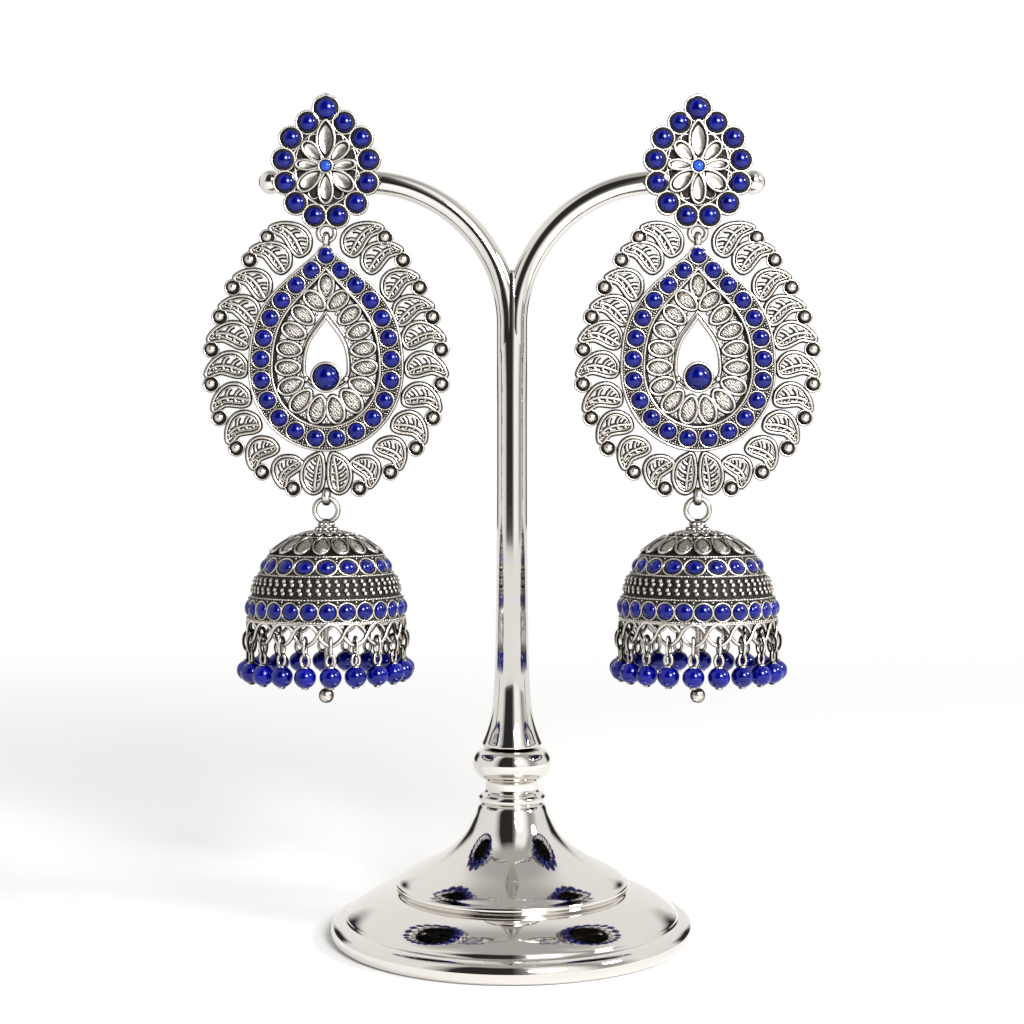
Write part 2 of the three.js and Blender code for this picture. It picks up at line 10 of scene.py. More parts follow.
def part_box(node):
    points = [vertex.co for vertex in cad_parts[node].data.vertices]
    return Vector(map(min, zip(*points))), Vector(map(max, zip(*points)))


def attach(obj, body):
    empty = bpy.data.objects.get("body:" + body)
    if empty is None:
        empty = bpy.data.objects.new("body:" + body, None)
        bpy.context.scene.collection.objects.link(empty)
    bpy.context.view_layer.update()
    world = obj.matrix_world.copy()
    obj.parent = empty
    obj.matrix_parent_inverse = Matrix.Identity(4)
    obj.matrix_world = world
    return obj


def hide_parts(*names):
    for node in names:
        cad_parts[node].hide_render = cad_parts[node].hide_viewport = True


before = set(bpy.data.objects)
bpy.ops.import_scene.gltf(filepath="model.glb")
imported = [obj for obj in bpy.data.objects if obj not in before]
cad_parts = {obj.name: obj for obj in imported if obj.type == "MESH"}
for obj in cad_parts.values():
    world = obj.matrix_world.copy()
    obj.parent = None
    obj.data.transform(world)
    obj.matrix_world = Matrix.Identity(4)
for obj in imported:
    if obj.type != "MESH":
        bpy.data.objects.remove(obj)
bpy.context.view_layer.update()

bl_info = {
    "name": "Bell Earrings on a Forked Stand",
    "version": (1, 0, 0),
    "blender": (4, 5, 0),
    "location": "View3D > Sidebar > Earrings",
    "description": "Builds a pair of bell drop earrings with blue stones on a polished forked stand",
    "category": "Add Mesh",
}

MM = 0.001
SIDES = ("left", "right")
SIGN = {"left": -1, "right": 1}
BEAD_RADIUS = 1.85
SHADE_DEPTH = 0.24
LEAF_BACK, LEAF_FACE, LEAF_BEVEL = -0.45, 0.25, 0.06
LOOP_LINE_RADIUS = 13.75
BACKDROP = (1.0, 1.0, 1.0)
FINISHES = {}


# Places that follow from the solids, in millimetres


def box_mm(node):
    """Lowest and highest corner of a solid."""
    low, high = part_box(node)
    return Vector(low) / MM, Vector(high) / MM


def middle_mm(node):
    low, high = box_mm(node)
    return (low + high) / 2


def flower_place(side):
    """Middle of the stud's face, in the middle plane of the plate."""
    pin = middle_mm(side + "_bell_pin")
    return Vector((pin.x, pin.y, middle_mm(side + "_stud_stone").z))


def pendant_place(side):
    """Middle of the pendant's widest part, in its middle plane."""
    pin = middle_mm(side + "_bell_pin")
    sizes = bpy.context.scene.pendant_sizes
    drop = sizes.big_stone_drop / MM
    return Vector((pin.x, pin.y, middle_mm(side + "_pendant_stone").z + drop))


def bell_place(side):
    """The point on the bell's axis at the top of its loops."""
    pin = middle_mm(side + "_bell_pin")
    low, _ = box_mm(side + "_bell_dome")
    sizes = bpy.context.scene.bell_sizes
    return Vector((pin.x, pin.y, low.z + sizes.loop_height / MM - 0.25))


# Outlines, in millimetres


def full_turn(count):
    """Evenly spread angles once round, in radians."""
    return np.linspace(0, 2 * math.pi, count, endpoint=False)


def teardrop(half_width, tip, drop, steps=60, shoulder=0.58):
    """Pear outline with its point up, clockwise from its point; a larger shoulder makes it fuller above."""
    corners = [[0, tip], [half_width * shoulder, tip * 0.64], [half_width, tip * 0.56], [half_width, 0]]
    corners = np.array(corners)
    share = np.linspace(0, 1, steps, endpoint=False)[:, None]
    weights = ((1 - share) ** 3, 3 * share * (1 - share) ** 2, 3 * share**2 * (1 - share), share**3)
    upper = sum(weight * corner for weight, corner in zip(weights, corners))
    turn = np.linspace(0, math.pi / 2, steps)
    belly = np.stack([half_width * np.cos(turn), -drop * np.sin(turn)], axis=1)
    right = np.concatenate([upper, belly])
    left = right[1:-1][::-1] * [-1, 1]
    return np.concatenate([right, left])


def lengths_along(outline):
    ring = np.concatenate([outline, outline[:1]])
    steps = np.linalg.norm(np.diff(ring, axis=0), axis=1)
    return ring, np.concatenate([[0], np.cumsum(steps)])


def outline_length(outline):
    return lengths_along(outline)[1][-1]


def station(outline, share):
    """A place at a share of the way round a clockwise outline, and its outward direction."""
    ring, run = lengths_along(outline)

    def at(part):
        distance = (part % 1) * run[-1]
        return np.array([np.interp(distance, run, ring[:, 0]), np.interp(distance, run, ring[:, 1])])

    ahead = at(share + 0.001) - at(share - 0.001)
    outward = np.array([-ahead[1], ahead[0]]) / np.linalg.norm(ahead)
    return at(share), outward


def smooth_line(points, steps=6, closed=False):
    """A soft line through a few chosen points."""
    points = np.array(points, float)
    count = len(points)
    spans = count if closed else count - 1
    line = []
    for i in range(spans):
        picks = [(i + k) % count if closed else min(max(i + k, 0), count - 1) for k in (-1, 0, 1, 2)]
        before, start, end, after = (points[k] for k in picks)
        for t in np.arange(steps) / steps:
            line.append(
                0.5
                * (
                    2 * start
                    + (end - before) * t
                    + (2 * before - 5 * start + 4 * end - after) * t**2
                    + (3 * start - before - 3 * end + after) * t**3
                )
            )
    if not closed:
        line.append(points[-1])
    return np.array(line)


def almond(length, width, sharpness, point=0.0, steps=20):
    """An almond outline whose pointed end lies down; its upper end is round, or has a point too."""
    turn = full_turn(steps)
    swell = np.sin(turn) * np.abs(np.sin(turn / 2)) ** sharpness * np.abs(np.cos(turn / 2)) ** point
    return np.stack([width / 2 * swell / np.max(np.abs(swell)), -length / 2 * np.cos(turn)], axis=1)


# Modelling, in millimetres, with a flat piece lying face up


def nothing_selected():
    if bpy.context.object and bpy.context.object.mode != "OBJECT":
        bpy.ops.object.mode_set(mode="OBJECT")
    bpy.ops.object.select_all(action="DESELECT")


def only(piece):
    nothing_selected()
    piece.select_set(True)
    bpy.context.view_layer.objects.active = piece


def finished(piece, finish, crease=40):
    """Gives a new part its finish and soft shading."""
    only(piece)
    piece.data.materials.clear()
    piece.data.materials.append(FINISHES[finish])
    bpy.ops.object.shade_smooth_by_angle(angle=math.radians(crease))
    return piece


def drawn_up(piece, profile, spread=None):
    """Draws a flat face up through a profile, ring by ring; spread narrows each ring from front to back."""
    only(piece)
    bpy.ops.object.mode_set(mode="EDIT")
    bpy.ops.mesh.select_all(action="SELECT")
    radius, height = profile[0]
    depth = 1
    for i, (next_radius, next_height) in enumerate(profile[1:], 1):
        rise = (0, 0, next_height - height)
        bpy.ops.mesh.extrude_region_move(TRANSFORM_OT_translate={"value": rise})
        grow = next_radius / radius
        next_depth = spread[i] if spread else 1
        bpy.ops.transform.resize(
            value=(grow, grow * next_depth / depth, 1), center_override=(0, 0, next_height)
        )
        radius, height, depth = next_radius, next_height, next_depth
    bpy.ops.mesh.select_all(action="SELECT")
    bpy.ops.mesh.normals_make_consistent(inside=False)
    bpy.ops.object.mode_set(mode="OBJECT")


def turned(profile, finish, sides=48, crease=40, spread=None):
    """A round part, drawn up ring by ring from a disc."""
    nothing_selected()
    radius, height = profile[0]
    bpy.ops.mesh.primitive_circle_add(
        vertices=sides, radius=radius, fill_type="NGON", location=(0, 0, height)
    )
    piece = bpy.context.object
    bpy.ops.object.transform_apply(location=True, rotation=False, scale=False)
    drawn_up(piece, profile, spread)
    return finished(piece, finish, crease)


def cupped(outline, profile, finish):
    """A part with an outline of its own, drawn up through shares of that outline."""
    share, height = profile[0]
    mesh = bpy.data.meshes.new("outline")
    mesh.from_pydata([(x * share, y * share, height) for x, y in outline], [], [range(len(outline))])
    piece = bpy.data.objects.new("outline", mesh)
    bpy.context.collection.objects.link(piece)
    drawn_up(piece, profile)
    return finished(piece, finish, 60)


def wire_ring(radius, wire, finish, upright=False, sides=32, around=10):
    """A round wire ring that lies flat, or stands upright across the viewer's line."""
    nothing_selected()
    bpy.ops.mesh.primitive_torus_add(
        major_radius=radius,
        minor_radius=wire,
        major_segments=sides,
        minor_segments=around,
        rotation=(math.pi / 2, 0, 0) if upright else (0, 0, 0),
    )
    bpy.ops.object.transform_apply(location=False, rotation=True, scale=False)
    return finished(bpy.context.object, finish, 80)


def curve_of(lines, closed):
    curve = bpy.data.curves.new("line", "CURVE")
    for line in lines:
        spline = curve.splines.new("POLY")
        spline.points.add(len(line) - 1)
        places = np.ones((len(line), 4))
        places[:, 2] = 0
        places[:, : np.shape(line)[1]] = line
        spline.points.foreach_set("co", places.ravel())
        spline.use_cyclic_u = closed
    piece = bpy.data.objects.new("line", curve)
    bpy.context.collection.objects.link(piece)
    only(piece)
    return piece


def wire_along(lines, wire, finish, closed=False, fineness=2):
    """Round wire bent along one line or more."""
    piece = curve_of(lines, closed)
    curve = piece.data
    curve.dimensions = "3D"
    curve.bevel_depth = wire
    curve.bevel_resolution = fineness
    curve.use_fill_caps = True
    bpy.ops.object.convert(target="MESH")
    return finished(bpy.context.object, finish, 80)


def outlined(lines, wire, height, closed=False, margin=0.14):
    """Silver wire that lies on a wider dark one, which shows as a dark line along both its sides: painted
    shade along the wire.
    """
    shade = wire_along(lines, wire + margin, "dark", closed, fineness=1)
    bright = wire_along(lines, wire, "silver", closed, fineness=1)
    lifted(shade, height - SHADE_DEPTH)
    return [shade, lifted(bright, height)]


def plate(outlines, low, high, finish, bevel=0.12):
    """A flat plate with softened edges between two heights; an outline inside another is a hole."""
    piece = curve_of(outlines, True)
    curve = piece.data
    curve.dimensions = "2D"
    curve.fill_mode = "BOTH"
    curve.bevel_depth = bevel
    curve.bevel_resolution = 1
    curve.offset = -bevel
    curve.extrude = (high - low) / 2 - bevel
    bpy.ops.object.convert(target="MESH")
    piece = bpy.context.object
    return finished(lifted(piece, (low + high) / 2), finish, 50)


def cabochon(finish, height=0.62, sides=20, rows=10):
    """A domed stone of radius one with a flat back."""
    nothing_selected()
    bpy.ops.mesh.primitive_uv_sphere_add(segments=sides, ring_count=rows, radius=1)
    piece = bpy.context.object
    bpy.ops.object.mode_set(mode="EDIT")
    bpy.ops.mesh.select_all(action="SELECT")
    bpy.ops.mesh.bisect(plane_co=(0, 0, 0), plane_no=(0, 0, 1), clear_inner=True, use_fill=True)
    bpy.ops.mesh.select_all(action="SELECT")
    bpy.ops.transform.resize(value=(1, 1, height), center_override=(0, 0, 0))
    bpy.ops.object.mode_set(mode="OBJECT")
    return finished(piece, finish, 60)


def granule(finish, fine=False):
    """A small soldered grain of radius one."""
    nothing_selected()
    bpy.ops.mesh.primitive_ico_sphere_add(subdivisions=2 if fine else 1, radius=1)
    return finished(bpy.context.object, finish, 180)


def at(x, y, z=0.0, size=1.0, turn=0.0, stretch=(1, 1, 1)):
    """A place on a flat piece for one copy: where, how big and how far turned."""
    scale = Matrix.Diagonal((size * stretch[0], size * stretch[1], size * stretch[2], 1))
    return Matrix.Translation((x, y, z)) @ Matrix.Rotation(turn, 4, "Z") @ scale


def on_wall(angle, radius, height, lean, size=1.0, stretch=(1, 1, 1)):
    """A place on a round wall for one copy that faces out and leans back by an angle."""
    scale = Matrix.Diagonal((size * stretch[0], size * stretch[1], size * stretch[2], 1))
    facing = Matrix.Rotation(math.pi / 2 - lean, 4, "X")
    return Matrix.Rotation(angle, 4, "Z") @ Matrix.Translation((0, -radius, height)) @ facing @ scale


def copies(pattern, places, keep=False):
    """One mesh that holds a copy of the pattern at each place."""
    mesh = pattern.data
    corners, loops, faces = len(mesh.vertices), len(mesh.loops), len(mesh.polygons)
    spots = np.empty(corners * 3)
    mesh.vertices.foreach_get("co", spots)
    spots = spots.reshape(-1, 3)
    order = np.empty(loops, dtype=np.int32)
    mesh.loops.foreach_get("vertex_index", order)
    starts = np.empty(faces, dtype=np.int32)
    mesh.polygons.foreach_get("loop_start", starts)
    slots = np.empty(faces, dtype=np.int32)
    mesh.polygons.foreach_get("material_index", slots)
    moves = np.array([np.array(place) for place in places])
    count = len(moves)
    laid = np.einsum("kij,vj->kvi", moves[:, :3, :3], spots) + moves[:, None, :3, 3]
    steps = np.arange(count, dtype=np.int32)[:, None]
    whole = bpy.data.meshes.new("copies")
    whole.vertices.add(corners * count)
    whole.loops.add(loops * count)
    whole.polygons.add(faces * count)
    whole.vertices.foreach_set("co", laid.ravel())
    whole.loops.foreach_set("vertex_index", (order[None] + steps * corners).ravel())
    whole.polygons.foreach_set("loop_start", (starts[None] + steps * loops).ravel())
    whole.polygons.foreach_set("material_index", np.tile(slots, count))
    whole.polygons.foreach_set("use_smooth", np.ones(faces * count, dtype=bool))
    for material in mesh.materials:
        whole.materials.append(material)
    whole.update(calc_edges=True)
    whole.validate()
    piece = bpy.data.objects.new("copies", whole)
    bpy.context.collection.objects.link(piece)
    if not keep:
        bpy.data.objects.remove(pattern)
    return piece


def joined(name, parts):
    """Parts fused into one piece."""
    nothing_selected()
    for part in parts:
        part.select_set(True)
    bpy.context.view_layer.objects.active = parts[0]
    if len(parts) > 1:
        bpy.ops.object.join()
    whole = bpy.context.view_layer.objects.active
    whole.name = name
    whole.data.name = name
    return whole


def twin(piece, name):
    """A second piece like the first, with a mesh of its own."""
    other = piece.copy()
    other.data = piece.data.copy()
    other.name = name
    other.data.name = name
    bpy.context.collection.objects.link(other)
    return other


def moved(piece, place):
    piece.data.transform(place)
    return piece


def lifted(piece, height):
    return moved(piece, Matrix.Translation((0, 0, height)))


def refinished(piece, old, new):
    """Swaps one finish of a piece for another."""
    for i, old_material in enumerate(piece.data.materials):
        if old_material == FINISHES[old]:
            piece.data.materials[i] = FINISHES[new]
    return piece


def hung(piece, place, body, nodes, facing=True):
    """Sets a finished piece in its real place and size, on its body, in place of its solids."""
    stand_up = Matrix.Rotation(math.pi / 2, 4, "X") if facing else Matrix.Identity(4)
    piece.data.transform(Matrix.Scale(MM, 4) @ Matrix.Translation(place) @ stand_up)
    piece.data.update()
    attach(piece, body)
    if nodes:
        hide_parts(*nodes)
    return piece


# Finishes


class Value:
    """A shader socket that can be used in plain arithmetic."""

    def __init__(self, finish, socket):
        self.finish = finish
        self.socket = socket

    def __add__(self, other):
        return self.finish.math("ADD", self, other)

    __radd__ = __add__

    def __mul__(self, other):
        return self.finish.math("MULTIPLY", self, other)

    __rmul__ = __mul__

    def __sub__(self, other):
        return self.finish.math("SUBTRACT", self, other)

    def __pow__(self, other):
        return self.finish.math("POWER", self, other)


class Finish:
    """A tree of shader nodes."""

    def __init__(self, tree):
        self.tree = tree
        self.tree.nodes.clear()

    def node(self, kind, settings=None, values=(), output=0):
        new = self.tree.nodes.new("ShaderNode" + kind)
        for key, value in (settings or {}).items():
            setattr(new, key, value)
        for key, value in values.items() if isinstance(values, dict) else enumerate(values):
            if isinstance(value, Value):
                self.tree.links.new(value.socket, new.inputs[key])
            else:
                new.inputs[key].default_value = value
        return Value(self, new.outputs[output])

    def math(self, operation, *values):
        return self.node("Math", {"operation": operation}, values)

    def place(self):
        return self.node("TexCoord", output="Object")

    def noise(self, scale, detail=3.0, roughness=0.55):
        values = {"Vector": self.place(), "Scale": scale, "Detail": detail, "Roughness": roughness}
        return self.node("TexNoise", None, values, "Fac")

    def between(self, value, low, high):
        """How far a value lies between two limits, from 0 to 1."""
        settings = {"interpolation_type": "SMOOTHSTEP"}
        return self.node("MapRange", settings, {"Value": value, "From Min": low, "From Max": high})

    def blend(self, share, first, second):
        """A colour between two others, by a share from 0 to 1."""
        new = self.tree.nodes.new("ShaderNodeMix")
        new.data_type = "RGBA"
        for socket, value in ((new.inputs[0], share), (new.inputs[6], first), (new.inputs[7], second)):
            if isinstance(value, Value):
                self.tree.links.new(value.socket, socket)
            else:
                socket.default_value = value
        return Value(self, new.outputs[2])

    def bump(self, height, distance, strength=1.0):
        values = {"Height": height, "Distance": distance, "Strength": strength}
        return self.node("Bump", None, values, "Normal")

    def along(self, vector, axis):
        return self.node("VectorMath", {"operation": "DOT_PRODUCT"}, (vector, axis), "Value")

    def surface(self, **values):
        names = {name.replace("_", " ").title(): value for name, value in values.items()}
        names = {name.replace("Ior", "IOR"): value for name, value in names.items()}
        shader = self.node("BsdfPrincipled", None, names, "BSDF")
        output = self.tree.nodes.new("ShaderNodeOutputMaterial")
        self.tree.links.new(shader.socket, output.inputs["Surface"])


def material(name):
    """A new material and its empty tree of nodes."""
    new = bpy.data.materials.new(name)
    new.use_nodes = True
    return new, Finish(new.node_tree)


def colour(rgb):
    return (*rgb, 1.0)


def flat_facing(finish):
    """How squarely a surface faces the front or the back of a flat part; the silver is painted darker, as
    shade, where this is low.
    """
    facing = finish.along(finish.node("TexCoord", output="Normal"), (0, 1, 0))
    return finish.math("ABSOLUTE", facing)


def round_facing(finish):
    """How squarely a surface faces away from the bell's axis, or up; the bell's silver is painted darker, as
    shade, where this is low.
    """
    place, normal = finish.place(), finish.node("TexCoord", output="Normal")
    axis = middle_mm("right_bell_pin") * MM
    across = finish.along(place, (1, 0, 0))
    side = finish.math("SIGN", across)
    out_x = across * side - axis.x
    out_y = finish.along(place, (0, 1, 0)) - axis.y
    dot = out_x * side * finish.along(normal, (1, 0, 0)) + out_y * finish.along(normal, (0, 1, 0))
    size = (out_x * out_x + out_y * out_y) ** 0.5
    outward = finish.math("ABSOLUTE", finish.math("DIVIDE", dot, size + 0.00001))
    upward = finish.along(normal, (0, 0, 1)) * 0.9
    return finish.math("MAXIMUM", outward, upward)


def oxidised_silver_painted_shade(looks, name, facing):
    """Antique silver: bright on the high places; nearly black in the crevices, partly patina and partly
    painted shade from ambient occlusion; and painted shade down the sides that turn away from the facing.
    """
    new, finish = material(name)
    # Ambient occlusion darkens the crevices: partly the silver's own patina, partly painted shade.
    open_sky = finish.node("AmbientOcclusion", {"samples": 6}, {"Distance": 0.0008}, "AO")
    cloud = finish.noise(1100)
    light = finish.between(open_sky + 0.3 * cloud, 0.4, 0.9)
    # Painted shade: surfaces that turn away from the facing are darkened towards near-black.
    light = light * finish.between(facing(finish) + 0.16 * cloud, 0.5, 1.04)
    tone = finish.blend(light, colour(looks.tarnish_and_shade), colour(looks.silver))
    rough = 0.2 + 0.16 * cloud
    normal = finish.bump(finish.noise(4200, 2), 0.00003, 0.6)
    finish.surface(base_color=tone, metallic=1.0, roughness=rough, normal=normal)
    return new


def blackened_silver_and_painted_shade(looks, name, plain_back):
    """The dark grained floor behind the stones and the wires; a flat part has a plain silver back. It also
    colours the dark wires that paint shade along the silver ones.
    """
    new, finish = material(name)
    grain = finish.noise(5200, 2)
    light = finish.between(grain, 0.55, 0.8)
    tone = finish.blend(light, colour(looks.tarnish_and_shade), colour([0.22 * part for part in looks.silver]))
    if plain_back:
        shades = [colour([share * part for part in looks.silver]) for share in (0.4, 0.9)]
        worn = finish.blend(finish.noise(700), *shades)
        backward = finish.along(finish.node("TexCoord", output="Normal"), (0, 1, 0))
        tone = finish.blend(finish.between(backward, 0.4, 0.8), tone, worn)
    normal = finish.bump(grain, 0.00012)
    finish.surface(base_color=tone, metallic=0.7, roughness=0.45 + 0.2 * grain, normal=normal)
    return new


def engraved_silver(looks):
    """Seed and leaf pads: silver with fine hatched cuts."""
    new, finish = material("Engraved silver")
    values = {"Vector": finish.place(), "Scale": 1100.0, "Distortion": 7.0}
    values |= {"Detail": 2.0, "Detail Scale": 1.4}
    lines = finish.node("TexWave", {"bands_direction": "DIAGONAL"}, values, "Fac")
    light = finish.between(lines + 0.3 * finish.noise(3600), 0.1, 0.95)
    shades = [[share * part for part in looks.silver] for share in (0.16, 0.7)]
    tone = finish.blend(light, colour(shades[0]), colour(shades[1]))
    normal = finish.bump(lines, 0.00007)
    finish.surface(base_color=tone, metallic=1.0, roughness=0.42, normal=normal)
    return new


def polished_silver(looks):
    new, finish = material("Polished stand silver")
    cloud = finish.noise(45, 4)
    rough = 0.03 + 0.035 * cloud
    tone = finish.blend(cloud, colour(looks.stand), colour([0.93 * part for part in looks.stand]))
    finish.surface(base_color=tone, metallic=1.0, roughness=rough)
    return new


def stone(name, deep, lit, scale=700):
    """A glossy opaque stone with a little depth in its colour and blue in its reflections."""
    new, finish = material(name)
    share = finish.between(finish.noise(scale, 2), 0.3, 0.75)
    tone = finish.blend(share, colour(deep), colour(lit))
    rough = 0.06 + 0.05 * share
    blue = (0.42, 0.46, 1.0, 1.0)
    finish.surface(base_color=tone, roughness=rough, specular_ior_level=0.8, specular_tint=blue, ior=1.5)
    return new


def floor_white():
    """A pale floor that turns into plain white light far from the stand."""
    new, finish = material("Pale floor")
    place = finish.place()
    distance = finish.node("VectorMath", {"operation": "LENGTH"}, (place,), "Value")
    behind = finish.between(finish.along(place, (0, 1, 0)), 0.1, 0.5)
    far = finish.math("MAXIMUM", behind, finish.between(distance, 0.3, 0.9))
    cloud = finish.noise(3, 2)
    tone = finish.blend(cloud, colour((0.79, 0.79, 0.79)), colour((0.81, 0.81, 0.81)))
    tone = finish.blend(far, tone, colour((0, 0, 0)))
    glow = finish.blend(far, colour((0, 0, 0)), colour(BACKDROP))
    finish.surface(
        base_color=tone,
        roughness=0.9,
        specular_ior_level=0.0,
        emission_color=glow,
        emission_strength=1.0,
    )
    return new


def mix_finishes():
    looks = bpy.context.scene.earring_looks
    FINISHES["silver"] = oxidised_silver_painted_shade(looks, "Oxidised silver", flat_facing)
    FINISHES["bell"] = oxidised_silver_painted_shade(looks, "Oxidised bell silver", round_facing)
    FINISHES["dark"] = blackened_silver_and_painted_shade(looks, "Blackened silver", True)
    FINISHES["ground"] = blackened_silver_and_painted_shade(looks, "Blackened bell silver", False)
    FINISHES["engraved"] = engraved_silver(looks)
    FINISHES["stand"] = polished_silver(looks)
    for key, name in (("stone", "Blue stone"), ("bead", "Blue bead"), ("light_stone", "Light blue stone")):
        lit = list(getattr(looks, key))
        FINISHES[key] = stone(name, [0.45 * part for part in lit], lit, 300 if key == "bead" else 700)
    FINISHES["floor"] = floor_white()


# Sizes and colours that a user would change


def amount(name, description, default):
    return bpy.props.IntProperty(name=name, description=description, default=default, min=3)


def length(name, description, millimetres):
    return bpy.props.FloatProperty(
        name=name,
        description=description,
        default=millimetres * MM,
        min=0.0,
        unit="LENGTH",
        subtype="DISTANCE",
        precision=5,
    )


def tint(name, description, rgb):
    return bpy.props.FloatVectorProperty(
        name=name, description=description, default=rgb, size=3, min=0.0, max=1.0, subtype="COLOR"
    )


class StudSizes(bpy.types.PropertyGroup):
    half_width: length("Half width", "From the middle to the line of stones at the sides", 7.65)
    tip: length("Tip", "From the flower's middle up to the top stone", 10.3)
    drop: length("Drop", "From the flower's middle down to the line of stones", 9.1)
    thickness: length("Thickness", "Of the plate", 1.4)
    stone_radius: length("Stone radius", "Of the stones round the edge", 1.55)
    top_stone_radius: length("Top stone radius", "Of the stone over the flower", 1.85)
    stones: amount("Stones", "Round the edge", 13)
    petal_length: length("Petal length", "Of the flower's side petals", 4.7)
    petal_width: length("Petal width", "Of the flower's petals", 2.5)
    ring_radius: length("Ring radius", "Of the ring under the stud", 1.5)
    ring_wire: length("Ring wire", "Half the thickness of the ring's wire", 0.45)


class PendantSizes(bpy.types.PropertyGroup):
    half_width: length("Half width", "Of the stone band's outer edge", 13.83)
    tip: length("Tip", "From the middle up to the band's point", 22.2)
    drop: length("Drop", "From the middle down to the band's lower edge", 14.6)
    thickness: length("Thickness", "Of the pierced plate", 1.2)
    band_width: length("Band width", "Of the band that holds the stones", 4.4)
    stone_radius: length("Stone radius", "Of the band's stones", 1.4)
    stones: amount("Stones", "In the band", 23)
    seeds: amount("Seeds", "Round the opening", 17)
    seed_length: length("Seed length", "From its point to its round end", 5.1)
    seed_width: length("Seed width", "Across its widest part", 3.3)
    big_stone_drop: length("Big stone drop", "From the middle down to the big stone", 1.35)
    big_stone_radius: length("Big stone radius", "Of the stone under the opening", 2.15)
    ball_radius: length("Ball radius", "Of the ball at the end of each lobe", 0.98)


class BellSizes(bpy.types.PropertyGroup):
    radius: length("Radius", "Of the bell at its mouth", 14.1)
    crown: length("Crown", "From the loops up to the leaf crown's top", 15.2)
    wall: length("Wall", "Of the bell", 0.8)
    loop_height: length("Loop height", "Of the wire loops round the mouth", 4.4)
    loop_wire: length("Loop wire", "Half the thickness of the loops' wire", 0.36)
    loops: amount("Loops", "Round the mouth", 20)
    upper_stones: amount("Upper stones", "In the upper band", 18)
    lower_stones: amount("Lower stones", "In the lower band", 26)
    leaves: amount("Leaves", "In the leaf crown", 16)
    ring_radius: length("Ring radius", "Of the ring that the bell hangs on", 2.1)
    ring_wire: length("Ring wire", "Half the thickness of the ring's wire", 0.45)


class StandSizes(bpy.types.PropertyGroup):
    foot_radius: length("Foot radius", "Of the round foot", 32.4)
    column_radius: length("Column radius", "Of the column under the fork", 2.75)
    arm_radius: length("Arm radius", "Of the two arms", 2.08)
    bend_width: length("Bend width", "From the column out to the end of an arm's bend", 25.8)
    bend_height: length("Bend height", "From the start of an arm's bend up to its top", 25.7)


class Looks(bpy.types.PropertyGroup):
    silver: tint("Silver", "The earrings' high places", (0.66, 0.615, 0.56))
    # Near-black used for patina and for painted shade: in crevices, down the sides of the silver and in the
    # dark shade wires.
    tarnish_and_shade: tint("Tarnish and shade", "The earrings' crevices", (0.012, 0.01, 0.008))
    stand: tint("Stand", "The polished stand", (0.76, 0.73, 0.69))
    stone: tint("Stone", "The band stones", (0.001, 0.003, 0.15))
    light_stone: tint("Light stone", "The stud's middle stone", (0.02, 0.09, 0.62))
    bead: tint("Bead", "The hanging beads", (0.001, 0.002, 0.18))


# Parts of the earrings


def setting(radius, gap, wire, stone_finish, floor=0.0, stretch=(1, 1)):
    """A stone in a round wire setting with a dark gap between them, face up on a floor."""
    bed = copies(cabochon("dark", height=0.22, sides=20, rows=6), [at(0, 0, floor - 0.02, radius + gap)])
    rim = wire_ring(radius + gap, wire, "silver", sides=28, around=8)
    lifted(rim, floor + wire * 0.7)
    dome = copies(cabochon(stone_finish), [at(0, 0, floor, radius)])
    return moved(joined("setting", [rim, bed, dome]), Matrix.Diagonal((*stretch, 1, 1)))


def beaded_line(outline, pitch, size, height, offset=0.0):
    """A row of small grains along a closed outline."""
    count = int(outline_length(outline) / pitch)
    places = []
    for i in range(count):
        point, outward = station(outline, i / count)
        spot = point + outward * offset
        places.append(at(spot[0], spot[1], height, size))
    return copies(granule("silver"), places)


def seed_cup(length_mm, width_mm, sharpness, rim, back):
    """A seed: a raised wire edge round a softly domed, engraved pad."""
    outline = almond(length_mm - 2 * rim, width_mm - 2 * rim, sharpness)
    edge = outlined([outline], rim, 0.5, closed=True, margin=0.1)
    gap = cupped(outline, [(1, back), (1, 0.36), (0.05, 0.36)], "dark")
    pad = cupped(outline, [(0.84, 0.3), (0.8, 0.5), (0.5, 0.6), (0.05, 0.62)], "engraved")
    return joined("seed", [*edge, gap, pad])


# Stud


def stud_border():
    sizes = bpy.context.scene.stud_sizes
    return teardrop(sizes.half_width / MM, sizes.tip / MM, sizes.drop / MM)


def stud_settings(face):
    """The stones round the stud's edge, each in its own cup with a twisted wire edge."""
    sizes = bpy.context.scene.stud_sizes
    outline = stud_border()
    grains = []
    parts = []
    for i in range(sizes.stones):
        point, _ = station(outline, i / sizes.stones)
        radius = (sizes.stone_radius if i else sizes.top_stone_radius) / MM
        reach = radius + 0.56
        cup = [[0.1, face - 1.3], [reach, face - 1.3], [reach + 0.06, face - 0.1], [reach, face], [0.1, face]]
        base = turned(cup, "dark", 28)
        jewel = setting(radius, gap=0.5, wire=0.2, stone_finish="stone", floor=face)
        parts.append(moved(joined("cup", [base, jewel]), Matrix.Translation((point[0], point[1], 0))))
        for turn in full_turn(30):
            across, up = reach * math.cos(turn), reach * math.sin(turn)
            grains.append(at(point[0] + across, point[1] + up, face + 0.2, 0.19))
    top = station(outline, 0)[0]
    reach = sizes.top_stone_radius / MM + 0.5
    peak = [(-0.66 * reach, 0.75 * reach), (0, 1.07 * reach), (0.66 * reach, 0.75 * reach)]
    roof = wire_along([np.array(peak) + top], 0.26, "silver")
    parts.append(lifted(roof, face + 0.1))
    parts.append(copies(granule("silver"), grains))
    return parts


